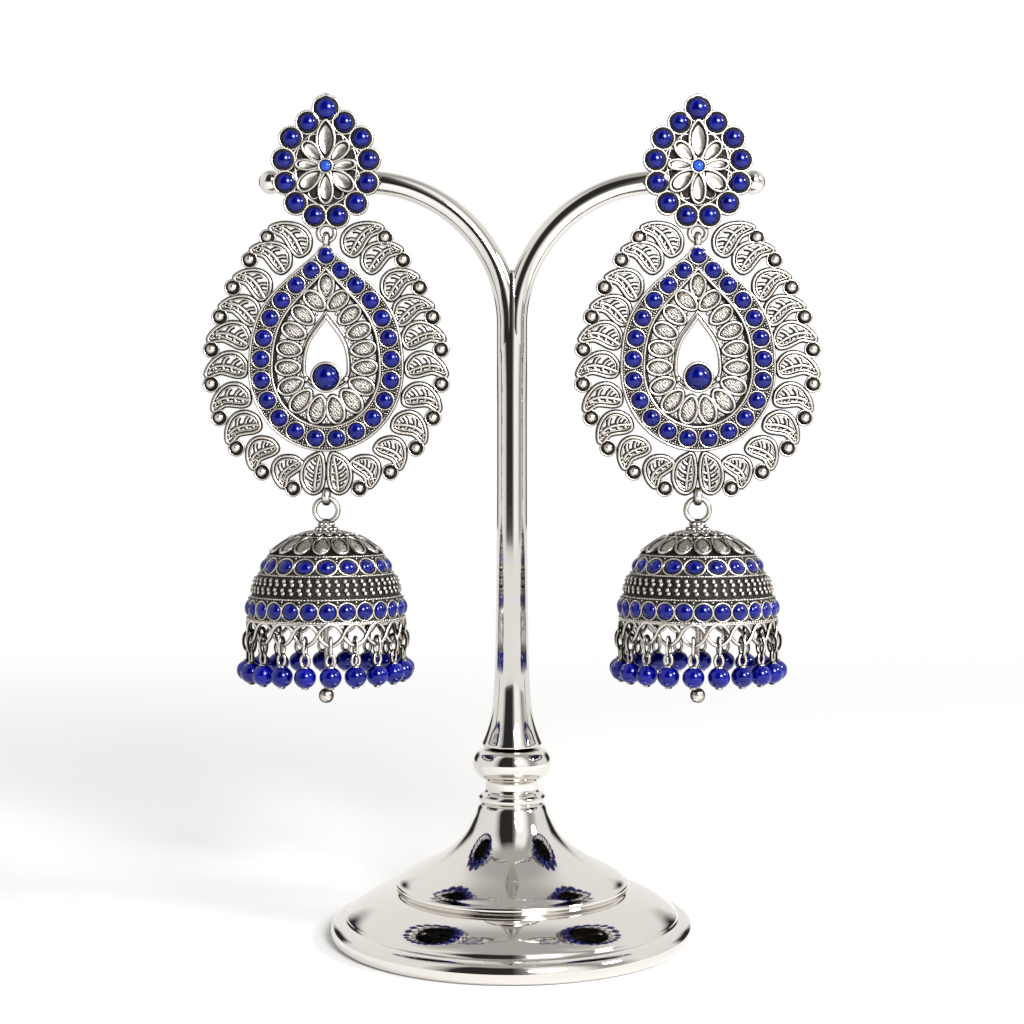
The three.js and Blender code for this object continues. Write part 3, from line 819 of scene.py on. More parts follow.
def petal(length_mm, width_mm, point):
    """A hollow petal with a raised edge, from its inner end upwards."""
    outline = almond(length_mm - 0.5, width_mm - 0.5, 0.5, point, 24)
    edge = wire_along([outline], 0.25, "silver", closed=True)
    lifted(edge, 0.62)
    ground = cupped(outline, [(1, -0.3), (1, 0.36), (0.05, 0.36)], "dark")
    bowl = cupped(outline, [(0.74, 0.3), (0.72, 0.56), (0.5, 0.46), (0.25, 0.4), (0.04, 0.4)], "silver")
    return moved(joined("petal", [edge, ground, bowl]), Matrix.Translation((0, length_mm / 2, 0)))


# Turn in degrees, shares of the petal's length and width, and how pointed its outer end is
PETALS = [
    (0, 1.62, 1.5, 0.5), (180, 1.28, 1.2, 0.0), (-43, 1.1, 1.14, 0.0), (43, 1.1, 1.14, 0.0),
    (-86, 1.0, 0.9, 0.0), (86, 1.0, 0.9, 0.0), (-131, 1.22, 1.3, 0.0), (131, 1.22, 1.3, 0.0),
]


def stud_flower(face):
    """The eight-petal flower with its longer, pointed top petal and the leaves behind it."""
    sizes = bpy.context.scene.stud_sizes
    side, wide = sizes.petal_length / MM, sizes.petal_width / MM
    parts = []
    for turn, size, width, point in PETALS:
        away = Matrix.Rotation(math.radians(turn), 4, "Z") @ Matrix.Translation((0, 0.85, face))
        parts.append(moved(petal(side * size, wide * width, point), away))
    for turn in (24, 65, 108, 156):
        for sign in (-1, 1):
            leaf = wire_along([almond(3.4, 2.0, 1.0)], 0.17, "silver", closed=True, fineness=1)
            turned_out = Matrix.Rotation(math.radians(turn * sign), 4, "Z")
            parts.append(moved(leaf, turned_out @ Matrix.Translation((0, 4.5, face + 0.1))))
    return parts


def stud_ring():
    sizes = bpy.context.scene.stud_sizes
    ring = wire_ring(sizes.ring_radius / MM, sizes.ring_wire / MM, "silver")
    drop = (sizes.drop + sizes.stone_radius + sizes.ring_radius - sizes.ring_wire) / MM
    return moved(ring, Matrix.Translation((0, -drop, 0)))


def stud_pattern():
    """The whole stud about the middle of its flower."""
    sizes = bpy.context.scene.stud_sizes
    face = sizes.thickness / MM / 2
    inner = teardrop(sizes.half_width / MM - 2.2, sizes.tip / MM - 2.4, sizes.drop / MM - 2.2)
    parts = [plate([stud_border()], -face, face, "dark"), *stud_settings(face), *stud_flower(face)]
    border = wire_along([inner], 0.19, "silver", closed=True, fineness=1)
    parts.append(lifted(border, face + 0.12))
    back = plate([stud_border()], -face - 0.02, -face + 0.3, "silver", 0.05)
    post = turned([[0.45, 0.0], [0.45, 10.0], [0.3, 10.4], [0.02, 10.45]], "silver", 16)
    moved(post, Matrix.Translation((0, -2.2, -face)) @ Matrix.Rotation(math.pi, 4, "X"))
    return joined("stud", [*parts, back, post, stud_ring()])


def model_studs():
    pattern = stud_pattern()
    for side in SIDES:
        stud = twin(pattern, side + "_stud")
        hung(stud, flower_place(side), "stand", [side + "_stud_plate"])
    bpy.data.objects.remove(pattern)


def model_stud_stone(side):
    face = bpy.context.scene.stud_sizes.thickness / MM / 2
    jewel = setting(radius=0.95, gap=0.3, wire=0.2, stone_finish="light_stone", floor=0.62)
    collar = turned([[1.4, -0.2], [1.4, 0.5], [1.3, 0.66], [0.1, 0.62]], "silver", 24)
    jewel = joined(side + "_stud_middle_stone", [collar, jewel])
    lifted(jewel, face + 0.1)
    hung(jewel, flower_place(side), "stand", [side + "_stud_stone"])


def model_ear_nut(side):
    low, high = box_mm(side + "_ear_nut")
    size = high.y - low.y
    radius = (high.z - low.z) / 2
    profile = [[0.72, 0], [radius - 0.3, 0], [radius, 0.25], [radius, size * 0.3]]
    profile += [[radius * 0.72, size * 0.5], [radius * 0.52, size * 0.8], [radius * 0.55, size - 0.2]]
    profile += [[radius * 0.45, size], [0.72, size], [0.7, 0.3]]
    nut = turned(profile, "silver", 32)
    middle = (low + high) / 2
    place = Vector((middle.x, low.y, middle.z))
    nut.data.transform(Matrix.Rotation(math.pi, 4, "X"))
    hung(nut, place, "stand", [side + "_ear_nut"])
    nut.name = side + "_push_nut"


# Pendant


def band_outline(inset):
    """The pear outline of the band, drawn in from its outer edge."""
    sizes = bpy.context.scene.pendant_sizes
    half_width, tip, drop = sizes.half_width / MM, sizes.tip / MM, sizes.drop / MM
    return teardrop(half_width - inset, tip - inset, drop - inset * 1.04, shoulder=0.66 - 0.018 * inset)


# Distance from the band's middle line, and size, of the grains between two stones
BAND_GRAINS = ((1.22, 0.2), (0.8, 0.17), (0.42, 0.13), (-0.42, 0.13), (-0.8, 0.17), (-1.22, 0.2))


def model_band(face):
    sizes = bpy.context.scene.pendant_sizes
    width = sizes.band_width / MM
    parts = [plate([band_outline(0), band_outline(width)], -face, face + 0.35, "dark", 0.1)]
    top = face + 0.35
    for inset, wire in ((0.22, 0.24), (width - 0.2, 0.24)):
        edge = wire_along([band_outline(inset)], wire, "silver", closed=True)
        parts.append(lifted(edge, top))
    for inset in (0.64, width - 0.62):
        parts.append(beaded_line(band_outline(inset), pitch=0.44, size=0.2, height=top + 0.04))
    jewel = setting(sizes.stone_radius / MM, gap=0.24, wire=0.15, stone_finish="stone", floor=top)
    half_width, drop = sizes.half_width / MM - width / 2, sizes.drop / MM - width / 2 - 0.06
    middle = teardrop(half_width, sizes.tip / MM - 1.85, drop)
    places, grains = [], []
    for i in range(sizes.stones):
        point, _ = station(middle, i / sizes.stones)
        places.append(at(point[0], point[1]))
        point, outward = station(middle, (i + 0.5) / sizes.stones)
        for reach, size in BAND_GRAINS:
            spot = point + outward * reach
            grains.append(at(spot[0], spot[1], top + 0.06, size))
    parts.append(copies(jewel, places))
    parts.append(copies(granule("silver"), grains))
    return parts


# Half width, height over the middle and depth under it
SEED_LINE = (6.85, 14.9, 7.3)
SEED_GROUND = ((9.6, 17.9, 10.4), (8.85, 17.3, 9.5))
OPENING_INNER = (3.95, 9.5, 3.0)
OPENING_OUTER = (4.5, 10.5, 3.5)


def model_seeds(face):
    """The seeds round the opening, with small grains between their round ends."""
    sizes = bpy.context.scene.pendant_sizes
    line = teardrop(*SEED_LINE)
    seed = seed_cup(sizes.seed_length / MM, sizes.seed_width / MM, sharpness=0.22, rim=0.29, back=-face)
    ground = plate([teardrop(*pear) for pear in SEED_GROUND], -face, 0.3, "dark", 0.06)
    places, ties = [], []
    for i in range(sizes.seeds):
        point, outward = station(line, i / sizes.seeds)
        if i == 0:
            outward = np.array([0.0, 1.0])
        turn = math.atan2(outward[1], outward[0]) - math.pi / 2
        larger = 1 + 0.13 * max(-point[1] / SEED_LINE[2], 0)
        places.append(at(point[0], point[1], 0, 1, turn, (larger, larger, 1)))
        between, out = station(line, (i + 0.5) / sizes.seeds)
        for reach, size in ((1.9, 0.3), (-1.75, 0.36)):
            spot = between + out * reach
            ties.append(at(spot[0], spot[1], 0, size))
    return [ground, copies(seed, places), copies(granule("silver", True), ties)]


def model_opening(face):
    """The open pear of wire that ends on the big stone's setting, with a ball at each side."""
    sizes = bpy.context.scene.pendant_sizes
    inner = wire_along([teardrop(*OPENING_INNER)], 0.32, "silver", closed=True, fineness=3)
    lifted(inner, 0.35)
    outer = wire_along([teardrop(*OPENING_OUTER)], 0.26, "silver", closed=True)
    drop = sizes.big_stone_drop / MM
    radius = sizes.big_stone_radius / MM
    wall = radius + 0.5
    profile = [[0.1, -face], [wall - 0.1, -face], [wall, face], [wall - 0.1, face + 0.5], [0.1, face + 0.4]]
    cup = turned(profile, "dark", 36)
    edge = lifted(wire_ring(radius + 0.38, 0.27, "silver", sides=40), face + 0.55)
    cup = moved(joined("cup", [cup, edge]), Matrix.Translation((0, -drop, 0)))
    balls = copies(granule("silver", True), [at(x, -drop - 0.3, 0.5, 0.6) for x in (-3.5, 3.5)])
    return [inner, outer, cup, balls]


# A lobe's ball and its round end on the band, each across and up from the pendant's middle
LOBES = [
    (10.46, 23.55, 3.92, 20.42), (13.65, 19.55, 7.15, 17.55), (16.63, 14.65, 10.7, 12.75),
    (18.93, 9.4, 12.4, 8.4), (20.45, 3.6, 13.7, 4.6), (20.5, -2.55, 14.1, -0.2),
    (19.0, -8.55, 13.5, -5.2), (16.0, -13.95, 11.7, -9.5), (11.4, -18.2, 8.8, -13.3),
    (5.9, -21.1, 4.7, -16.0),
]
# A leaf, in shares of its length and of its height
LEAF_EDGE = [
    (0.02, 0.0), (-0.05, 0.2), (0.03, 0.46), (0.2, 0.61), (0.42, 0.66),
    (0.66, 0.61), (0.88, 0.49), (1.05, 0.3), (0.98, 0.2), (0.84, 0.21),
    (0.67, 0.2), (0.5, 0.09), (0.32, -0.04), (0.14, -0.09),
]
LEAF_RIB = [(0.82, 0.41), (0.62, 0.39), (0.42, 0.3), (0.22, 0.15), (0.06, 0.0)]
LEAF_TAIL = [(0.72, 0.26), (0.7, 0.52), (0.86, 0.46), (1.0, 0.3), (0.94, 0.22), (0.84, 0.23)]
LEAF_GRAINS = [(0.79, 0.47), (0.9, 0.41), (0.81, 0.35), (0.9, 0.29), (0.98, 0.3), (0.76, 0.27)]


def drawn_in(edge, depth):
    """A closed outline moved inwards by a depth."""
    ahead = np.roll(edge, -1, axis=0) - np.roll(edge, 1, axis=0)
    ahead = ahead / np.linalg.norm(ahead, axis=1)[:, None]
    area = np.sum(edge[:, 0] * np.roll(edge[:, 1], -1) - np.roll(edge[:, 0], -1) * edge[:, 1])
    inward = np.stack([-ahead[:, 1], ahead[:, 0]], axis=1) * math.copysign(1, area)
    return edge + depth * inward


def veins_of(rib, edge, count):
    """Broad side veins from a rib out to a leaf's edge, leaning towards the rib's end."""
    ahead = np.roll(edge, -1, axis=0) - edge
    fence = np.concatenate([edge + ahead * share for share in (0.0, 0.25, 0.5, 0.75)])
    lines = []
    for i in range(count):
        step = int((0.12 + 0.7 * i / (count - 1)) * (len(rib) - 1))
        start = rib[step]
        ahead = rib[step + 1] - start
        ahead = ahead / np.linalg.norm(ahead)
        for side in (-1, 1):
            across = np.array([-ahead[1], ahead[0]]) * side
            reach = 0.2
            spot = start
            while reach < 3.6 and np.min(np.linalg.norm(fence - spot, axis=1)) > 0.22:
                spot = start + across * reach * 0.86 + ahead * reach * 0.5
                reach += 0.1
            bow = start + across * reach * 0.5 + ahead * reach * 0.16
            lines.append(smooth_line([start, bow, spot], 2))
    return lines


def leaf(edge, rib, depth=0.52):
    """A pierced leaf: a double edge with a dark line in it, a rib and its side veins."""
    inner = drawn_in(edge, depth)
    ground = plate([edge, inner], LEAF_BACK, LEAF_FACE, "dark", LEAF_BEVEL)
    rim = outlined([edge], 0.3, 0.36, closed=True, margin=0.15)
    lip = wire_along([inner], 0.16, "silver", closed=True, fineness=1)
    lifted(lip, 0.3)
    spine = outlined([rib], 0.32, 0.28, margin=0.18)
    veins = outlined(veins_of(rib, inner, 4), 0.28, 0.16, margin=0.2)
    return [ground, *rim, lip, *spine, *veins]


def knob(ball_radius):
    """A ball in a round cup at the end of a lobe."""
    cup = turned([[0.1, -0.6], [1.3, -0.6], [1.42, 0.1], [1.3, 0.3], [0.1, 0.2]], "dark", 24)
    lip = lifted(wire_ring(1.36, 0.19, "silver", sides=24, around=6), 0.3)
    ball = copies(granule("silver", True), [at(0, 0, 0.5, ball_radius)])
    return joined("knob", [cup, lip, ball])


def leaf_lobe(ball, end, sign, ball_radius):
    """One leaf lobe from its round end on the band out to its ball."""
    ball, end = np.array(ball) * [sign, 1], np.array(end) * [sign, 1]
    reach = ball - end
    rise = np.array([-reach[1], reach[0]]) / np.linalg.norm(reach) * sign * 6.6

    def laid(shares):
        return np.array([end + reach * x + rise * y for x, y in shares])

    edge = smooth_line(laid(LEAF_EDGE), 3, closed=True)
    parts = leaf(edge, smooth_line(laid(LEAF_RIB), 6))
    parts.append(plate([laid(LEAF_TAIL)], LEAF_BACK, LEAF_FACE, "dark", LEAF_BEVEL))
    parts.append(copies(granule("silver"), [at(x, y, 0.3, 0.26) for x, y in laid(LEAF_GRAINS)]))
    return [*parts, moved(knob(ball_radius), Matrix.Translation((ball[0], ball[1], 0)))]


def closing_leaf(side):
    """One of the two leaves that meet under the band."""
    drop = bpy.context.scene.pendant_sizes.drop / MM
    flip = np.array([side, -1])
    base = np.array([0, -drop])
    outline = [(0.9, 0.35), (2.2, 0.6), (3.6, 1.6), (4.35, 3.2), (4.35, 5.1), (3.6, 6.7)]
    outline += [(2.3, 7.4), (0.95, 6.7), (0.45, 4.9), (0.38, 2.6)]
    edge = smooth_line(np.array(outline) * flip + base, 4, closed=True)
    rib = smooth_line(np.array([(2.1, 6.9), (2.0, 5.2), (1.75, 3.2), (1.3, 1.0)]) * flip + base, 6)
    return leaf(edge, rib)


def edge_on_bail(radius, wire, height, width):
    """A thick bail seen edge-on, at a height on the pendant's middle line."""
    ring = wire_ring(radius, wire, "silver", sides=32, around=12)
    turned_up = Matrix.Translation((0, height, 0)) @ Matrix.Rotation(math.pi / 2, 4, "Y")
    return moved(ring, turned_up @ Matrix.Diagonal((1, 1, width, 1)))


def pendant_pattern():
    """The whole pendant about its middle, without its big stone."""
    sizes = bpy.context.scene.pendant_sizes
    face = sizes.thickness / MM / 2
    place = pendant_place("left")
    parts = [*model_band(face), *model_seeds(face), *model_opening(face)]
    for sign in (-1, 1):
        for x, y, end_x, end_y in LOBES:
            parts += leaf_lobe((x, y), (end_x, end_y), sign, sizes.ball_radius / MM)
        parts += closing_leaf(sign)
    low, high = box_mm("left_pendant_plate")
    parts.append(edge_on_bail(radius=1.1, wire=0.45, height=high.z - 1.55 - place.z, width=1.3))
    parts.append(edge_on_bail(radius=1.25, wire=0.42, height=low.z + 1.67 - place.z, width=1.7))
    return joined("pendant", parts)


def model_pendants():
    sizes = bpy.context.scene.pendant_sizes
    pattern = pendant_pattern()
    for side in SIDES:
        place = pendant_place(side)
        pendant = twin(pattern, side + "_pendant_metal")
        hung(pendant, place, side + "_pendant", [side + "_pendant_plate"])
        height = sizes.thickness / MM / 2 + 0.4
        spot = at(0, -sizes.big_stone_drop / MM, height, sizes.big_stone_radius / MM)
        jewel = copies(cabochon("stone", height=0.75, sides=36, rows=18), [spot])
        jewel.name = side + "_pendant_big_stone"
        hung(jewel, place, side + "_pendant", [side + "_pendant_stone"])
    bpy.data.objects.remove(pattern)


# Bell


# Radius and height over the loops
BELL_INSIDE = [[9.2, 10.6], [11.4, 7.2], [12.6, 4.2]]
BELL_OUTSIDE = [
    [13.2, 3.9], [12.75, 6.0], [12.0, 7.7], [11.7, 8.1], [11.2, 9.6],
    [10.3, 11.0], [9.6, 11.45], [7.8, 12.75], [6.0, 13.8], [4.9, 14.2],
    [4.6, 14.5], [2.6, 15.0], [0.1, 15.0],
]
CROWN_LEAF, CROWN_BUD = (7.75, 12.65), (3.8, 14.55)
# Radius, height, size of a grain and number of grains
BELL_RIDGES = (
    (10.15, 11.15, 0.2, 120),
    (11.95, 7.85, 0.22, 130),
    (13.25, 3.85, 0.25, 140),
    (13.9, 0.05, 0.26, 150),
)
# Height, radius and side of its column
GRAIN_ROWS = ((7.0, 12.35, -1), (6.4, 12.6, 1), (5.5, 12.85, -1), (4.9, 13.0, 1))
UPPER_BAND = dict(radius=10.95, height=9.35, lean=math.radians(24), size=1.22, stretch=1.2, gap=0.3)
LOWER_BAND = dict(radius=13.62, height=1.85, lean=0.02, size=1.38, stretch=1.03, gap=0.2)
# Turn of the upper and the lower band of stones, in degrees
BELL_TURNS = {"left": (6.0, 7.1), "right": (-8.6, -2.0)}


def bell_wall():
    sizes = bpy.context.scene.bell_sizes
    radius, crown, wall = sizes.radius / MM, sizes.crown / MM, sizes.wall / MM
    edge = radius - wall
    inside = [[0.2, crown - 1.2], [5.5, crown - 1.8], *BELL_INSIDE, [edge, 0.6], [edge, -0.25]]
    lower = [[radius - 0.25, -0.25], [radius - 0.25, 0.1], [radius - 0.35, 3.4]]
    return turned(inside + lower + BELL_OUTSIDE, "dark", sides=80, crease=30)


def beaded_ridge(radius, height, size, count):
    grains = [on_wall(turn, radius, height, 0, size) for turn in full_turn(count)]
    wire = wire_ring(radius - size * 0.4, size * 0.8, "silver", sides=80, around=6)
    return [copies(granule("silver"), grains), lifted(wire, height)]


def stone_band(count, phase, radius, height, lean, size, stretch, gap):
    """Stones in wire settings round the bell, with grains between them."""
    jewel = setting(size, gap, wire=0.15, stone_finish="stone", stretch=(stretch, 1))
    turns = [math.radians(phase) + i * 2 * math.pi / count for i in range(count)]
    parts = [copies(jewel, [on_wall(turn, radius, height, lean) for turn in turns])]
    half = math.pi / count
    grains = []
    for turn in turns:
        for rise, share in ((1.2, 0.24), (0.78, 0.19), (-0.78, 0.19), (-1.2, 0.24)):
            out = radius - size * rise * math.tan(lean) + 0.05
            grains.append(on_wall(turn + half, out, height + size * rise, lean, share))
    parts.append(copies(granule("silver"), grains))
    return parts


def leaf_crown():
    """The overlapping leaves round the top of the bell, and the disc that they start from."""
    sizes = bpy.context.scene.bell_sizes
    lean = math.radians(55)
    pad = seed_cup(length_mm=5.2, width_mm=3.3, sharpness=0.35, rim=0.26, back=-0.4)
    pad.data.transform(Matrix.Rotation(math.pi, 4, "Z"))
    turns = full_turn(sizes.leaves)
    parts = [copies(pad, [on_wall(turn, *CROWN_LEAF, lean) for turn in turns])]
    disc = turned([[4.7, 13.9], [5.15, 14.2], [4.6, 14.6], [2.4, 14.95], [0.1, 15.0]], "dark", 40)
    bud = seed_cup(length_mm=2.6, width_mm=1.7, sharpness=0.3, rim=0.17, back=-0.3)
    buds = [on_wall(turn + 0.2, *CROWN_BUD, math.radians(74)) for turn in turns]
    return [*parts, disc, copies(bud, buds), *beaded_ridge(radius=5.1, height=14.3, size=0.2, count=60)]


def grain_rows():
    """Two rows of paired silver grains on the dark ring between the stone bands."""
    columns = 50
    places = []
    for turn in full_turn(columns):
        for height, radius, shift in GRAIN_ROWS:
            places.append(on_wall(turn + 0.012 * shift, radius, height, 0.3, 0.5))
    return copies(granule("silver"), places)


def wire_loops(phase):
    """Two wavy wires that cross each other and leave round openings under the bell's mouth."""
    sizes = bpy.context.scene.bell_sizes
    drop = sizes.loop_height / MM
    wire = sizes.loop_wire / MM
    middle, swing = wire - drop / 2 - 0.15, drop / 2 - wire
    lines = []
    for sign in (-1, 1):
        line = []
        for angle in full_turn(sizes.loops * 14):
            wave = math.sin(sizes.loops / 2 * angle)
            round_wave = math.copysign(abs(wave) ** 0.74, wave)
            reach = LOOP_LINE_RADIUS + 0.18 * sign * math.cos(sizes.loops / 2 * angle)
            turn = angle + math.radians(phase) - math.pi / sizes.loops
            line.append((reach * math.sin(turn), -reach * math.cos(turn), middle + sign * swing * round_wave))
        lines.append(line)
    rim = lifted(wire_ring(LOOP_LINE_RADIUS, 0.3, "silver", sides=80, around=6), -0.2)
    return joined("loops", [wire_along(lines, wire, "silver", closed=True, fineness=2), rim])


def bell_finial():
    """The beaded knob on top of the bell and the ring that it hangs on."""
    sizes = bpy.context.scene.bell_sizes
    radius, wire = sizes.ring_radius / MM, sizes.ring_wire / MM
    profile = [[2.2, 14.8], [2.3, 15.1], [1.8, 15.4], [1.45, 16.1], [1.05, 17.0], [0.4, 17.5], [0.05, 17.5]]
    knob_body = turned(profile, "silver", 32)
    ring_at = [on_wall(turn, 1.7, 15.6, 0, 0.48) for turn in full_turn(11)]
    upper = [on_wall(turn, 1.1, 16.5, 0, 0.44) for turn in full_turn(8)]
    ring = wire_ring(radius, wire, "silver", upright=True, sides=40, around=12)
    ring = lifted(ring, 19.05)
    return [knob_body, copies(granule("silver", True), ring_at + upper), ring]


def model_bell(side):
    place = bell_place(side)
    upper, lower = BELL_TURNS[side]
    sizes = bpy.context.scene.bell_sizes
    parts = [bell_wall(), *leaf_crown(), grain_rows()]
    parts += stone_band(sizes.upper_stones, upper, **UPPER_BAND)
    parts += stone_band(sizes.lower_stones, lower, **LOWER_BAND)
    for radius, height, size, count in BELL_RIDGES:
        parts += beaded_ridge(radius, height, size, count)
    parts.append(wire_loops(drop_turn(side)))
    body = refinished(refinished(joined("bell", parts), "silver", "bell"), "dark", "ground")
    bell = joined(side + "_bell_metal", [body, *bell_finial()])
    hung(bell, place, side + "_bell", [side + "_bell_dome"], facing=False)


def drop_turn(side):
    """The angle of the first bead drop round the bell's axis, in degrees."""
    bell = bell_place(side)
    middle = bead_middle(side, 1)
    return math.degrees(math.atan2(middle.x - bell.x, bell.y - middle.y))


def bead_middle(side, number):
    """The middle of a bead, above the lowest point of its solid."""
    node = side + "_bead_drop_%02d" % number
    corners = [Vector(corner.co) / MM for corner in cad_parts[node].data.vertices]
    low = min(corner.z for corner in corners)
    belly = [corner for corner in corners if corner.z < low + 2 * BEAD_RADIUS - 0.2]
    middle = sum(belly, Vector()) / len(belly)
    return Vector((middle.x, middle.y, low + BEAD_RADIUS))


def bead_pattern():
    """One bead on its eye, hanging from the middle of its bead."""
    nothing_selected()
    bpy.ops.mesh.primitive_uv_sphere_add(segments=28, ring_count=18, radius=BEAD_RADIUS + 0.06)
    bead = bpy.context.object
    bpy.ops.object.mode_set(mode="EDIT")
    bpy.ops.mesh.select_all(action="SELECT")
    bpy.ops.transform.resize(value=(1, 1, 0.97), center_override=(0, 0, 0))
    bpy.ops.object.mode_set(mode="OBJECT")
    bead = finished(bead, "bead", 80)
    cap = turned([[0.3, -2.05], [0.55, -2.0], [0.7, -1.75], [0.5, -1.6]], "silver", 16)
    collar = turned([[0.8, 1.6], [0.72, 1.85], [0.4, 2.05], [0.3, 2.2]], "silver", 16)
    turns = full_turn(20)
    lower = [(0.72 * math.sin(t), 0.0, 2.85 + 1.05 * math.cos(t)) for t in turns]
    upper = [(0.0, 0.75 * math.sin(t), 5.2 + 1.6 * math.cos(t)) for t in turns]
    link = wire_along([lower, upper], 0.31, "silver", closed=True, fineness=1)
    return refinished(joined("bead", [bead, cap, collar, link]), "silver", "bell")


def model_drops(side):
    bell = bell_place(side)
    count = bpy.context.scene.bell_sizes.loops
    pattern = bead_pattern()
    for number in range(1, count + 1):
        middle = bead_middle(side, number)
        turn = math.atan2(middle.x - bell.x, bell.y - middle.y)
        drop = copies(pattern, [Matrix.Rotation(turn, 4, "Z")], keep=True)
        drop.name = side + "_bead_on_eye_%02d" % number
        hung(drop, middle, side + "_bell", [side + "_bead_drop_%02d" % number], facing=False)
    bpy.data.objects.remove(pattern)


def model_pin(side):
    low, high = box_mm(side + "_bell_pin")
    ball = 1.36
    middle = low.z + ball
    profile = [[0.05, -ball]]
    profile += [[ball * math.cos(turn), ball * math.sin(turn)] for turn in np.linspace(-1.4, 1.25, 16)]
    profile += [[0.4, ball + 0.2], [0.36, ball + 0.5], [0.4, high.z - middle - 0.2], [0.05, high.z - middle]]
    pin = turned(profile, "silver", 24)
    pin.name = side + "_pin_with_ball"
    place = Vector(((low.x + high.x) / 2, (low.y + high.y) / 2, middle))
    hung(pin, place, side + "_bell", [side + "_bell_pin"], facing=False)


# Stand


# Radius and height of each turned part, from the bottom up
FOOT_LINE_RADIUS = 32.4
FOOT_LINE = [
    (31.0, 0.0), (31.9, 0.25), (32.4, 1.0), (32.4, 2.2), (31.9, 3.1), (31.0, 3.55),
    (29.9, 3.75), (29.7, 4.0), (29.4, 4.5), (28.0, 5.6), (25.6, 7.0), (23.0, 8.0),
    (20.9, 8.5), (20.6, 8.7), (20.95, 9.1), (20.9, 9.7), (20.3, 10.1), (19.4, 10.9),
    (17.3, 12.1), (13.6, 14.0), (10.4, 16.2), (8.2, 18.6), (6.9, 21.0), (6.1, 23.2),
    (5.5, 23.9),
]
NECK_LINE = [
    (5.5, 23.9), (5.95, 24.3), (6.05, 24.9), (5.7, 25.5), (4.9, 26.0), (4.75, 26.9),
    (4.8, 27.8), (5.5, 28.3), (6.5, 29.2), (7.0, 30.5), (7.0, 31.6), (6.5, 32.8),
    (5.6, 33.5), (4.0, 33.75), (0.1, 33.8),
]
COLUMN_LINE = [
    (4.6, 33.95), (5.3, 34.1), (5.4, 34.5), (4.95, 35.6), (4.3, 37.4), (3.8, 39.6),
    (3.42, 42.6), (3.18, 46.5), (3.0, 52.0), (2.88, 60.0), (2.75, 75.0), (2.73, 92.0),
    (2.73, 102.0), (2.74, 107.0), (2.74, 110.0), (2.7, 113.5), (2.4, 116.0), (1.8, 118.2),
    (1.0, 119.4), (0.1, 119.7),
]


def rounded_profile(points, steps=4):
    return [tuple(point) for point in smooth_line(points, steps)]


def model_foot():
    sizes = bpy.context.scene.stand_sizes
    share = sizes.foot_radius / MM / FOOT_LINE_RADIUS
    profile = rounded_profile(FOOT_LINE[:7], 4)[:-1] + rounded_profile(FOOT_LINE[6:14], 5)[:-1]
    profile += rounded_profile(FOOT_LINE[13:], 5)[:-1] + rounded_profile(NECK_LINE, 4)
    foot = turned([(radius * share, height) for radius, height in profile], "stand", 128, 50)
    foot.name = "polished_foot"
    hung(foot, Vector((0, 0, 0)), "stand", ["stand_foot"], facing=False)


# From the fork's top down to an arm's middle, and from its side in to an arm's end and to the tip
ARM_BELOW_TOP, ARM_END, TIP_START = 2.1, 5.4, 5.2


def arm_line(sign):
    """Centreline of an arm, from inside the column up, round its bend and out to its end."""
    sizes = bpy.context.scene.stand_sizes
    low, high = box_mm("stand_fork")
    arm = sizes.arm_radius / MM
    top = high.z - ARM_BELOW_TOP
    inner = sizes.column_radius / MM - arm
    width, rise = sizes.bend_width / MM, sizes.bend_height / MM
    line = [(sign * inner, 0, top - rise - 14), (sign * inner, 0, top - rise - 7)]
    for turn in np.linspace(0, math.pi / 2, 40):
        line.append((sign * (inner + width * (1 - math.cos(turn))), 0, top - rise + rise * math.sin(turn)))
    line += [(sign * x, 0, top) for x in (29, 33, 37, high.x - ARM_END)]
    return line, top, high.x


def model_fork():
    sizes = bpy.context.scene.stand_sizes
    arm = sizes.arm_radius / MM
    profile = rounded_profile(COLUMN_LINE, 4)
    spread = [1 - 0.24 * min(max((height - 98) / 11, 0), 1) for _, height in profile]
    parts = [turned(profile, "stand", 64, 50, spread)]
    for sign in (-1, 1):
        line, top, reach = arm_line(sign)
        parts.append(wire_along([line], arm, "stand", fineness=10))
        end = [(arm, -0.4), (arm - 0.05, -0.05), (1.7, 0.2), (1.42, 0.6), (1.42, 1.1)]
        ball = [(2.2 * math.cos(turn), 3.0 + 2.2 * math.sin(turn)) for turn in np.linspace(-0.86, 1.5, 14)]
        tip = turned([(0.1, -0.6), *end, *ball], "stand", 40, 40)
        outward = Matrix.Rotation(sign * math.pi / 2, 4, "Y")
        parts.append(moved(tip, Matrix.Translation((sign * (reach - TIP_START), 0, top)) @ outward))
    fork = joined("polished_fork", parts)
    hung(fork, Vector((0, 0, 0)), "stand", ["stand_fork"], facing=False)


# Stage


# Share of the way round from the back, and brightness there
BAND_TONES = [
    (0.0, 1.0), (0.06, 1.0), (0.085, 0.03), (0.135, 0.03), (0.16, 0.95), (0.34, 1.0), (0.375, 0.5),
    (0.395, 0.03), (0.5, 0.03), (0.525, 0.3), (0.545, 1.2), (0.62, 1.2), (0.66, 0.4), (0.7, 0.5),
    (0.74, 1.0), (0.84, 0.95), (0.865, 0.03), (0.915, 0.03), (0.94, 1.0), (1.0, 1.0),
]


# Name, place, aim, size and power
LIGHTS = (
    ("Key light", (0.3, -0.72, 0.46), (0, 0, 0.08), 0.34, 9.0),
    ("Side light", (0.62, -0.22, 0.46), (0, 0, 0.05), 0.16, 3.4),
)
CAMERA = {"lens": 61.5, "sensor_width": 36, "clip_start": 0.01, "shift_y": -0.041}
CAMERA_PLACE = (0, -0.315, 0.0836)


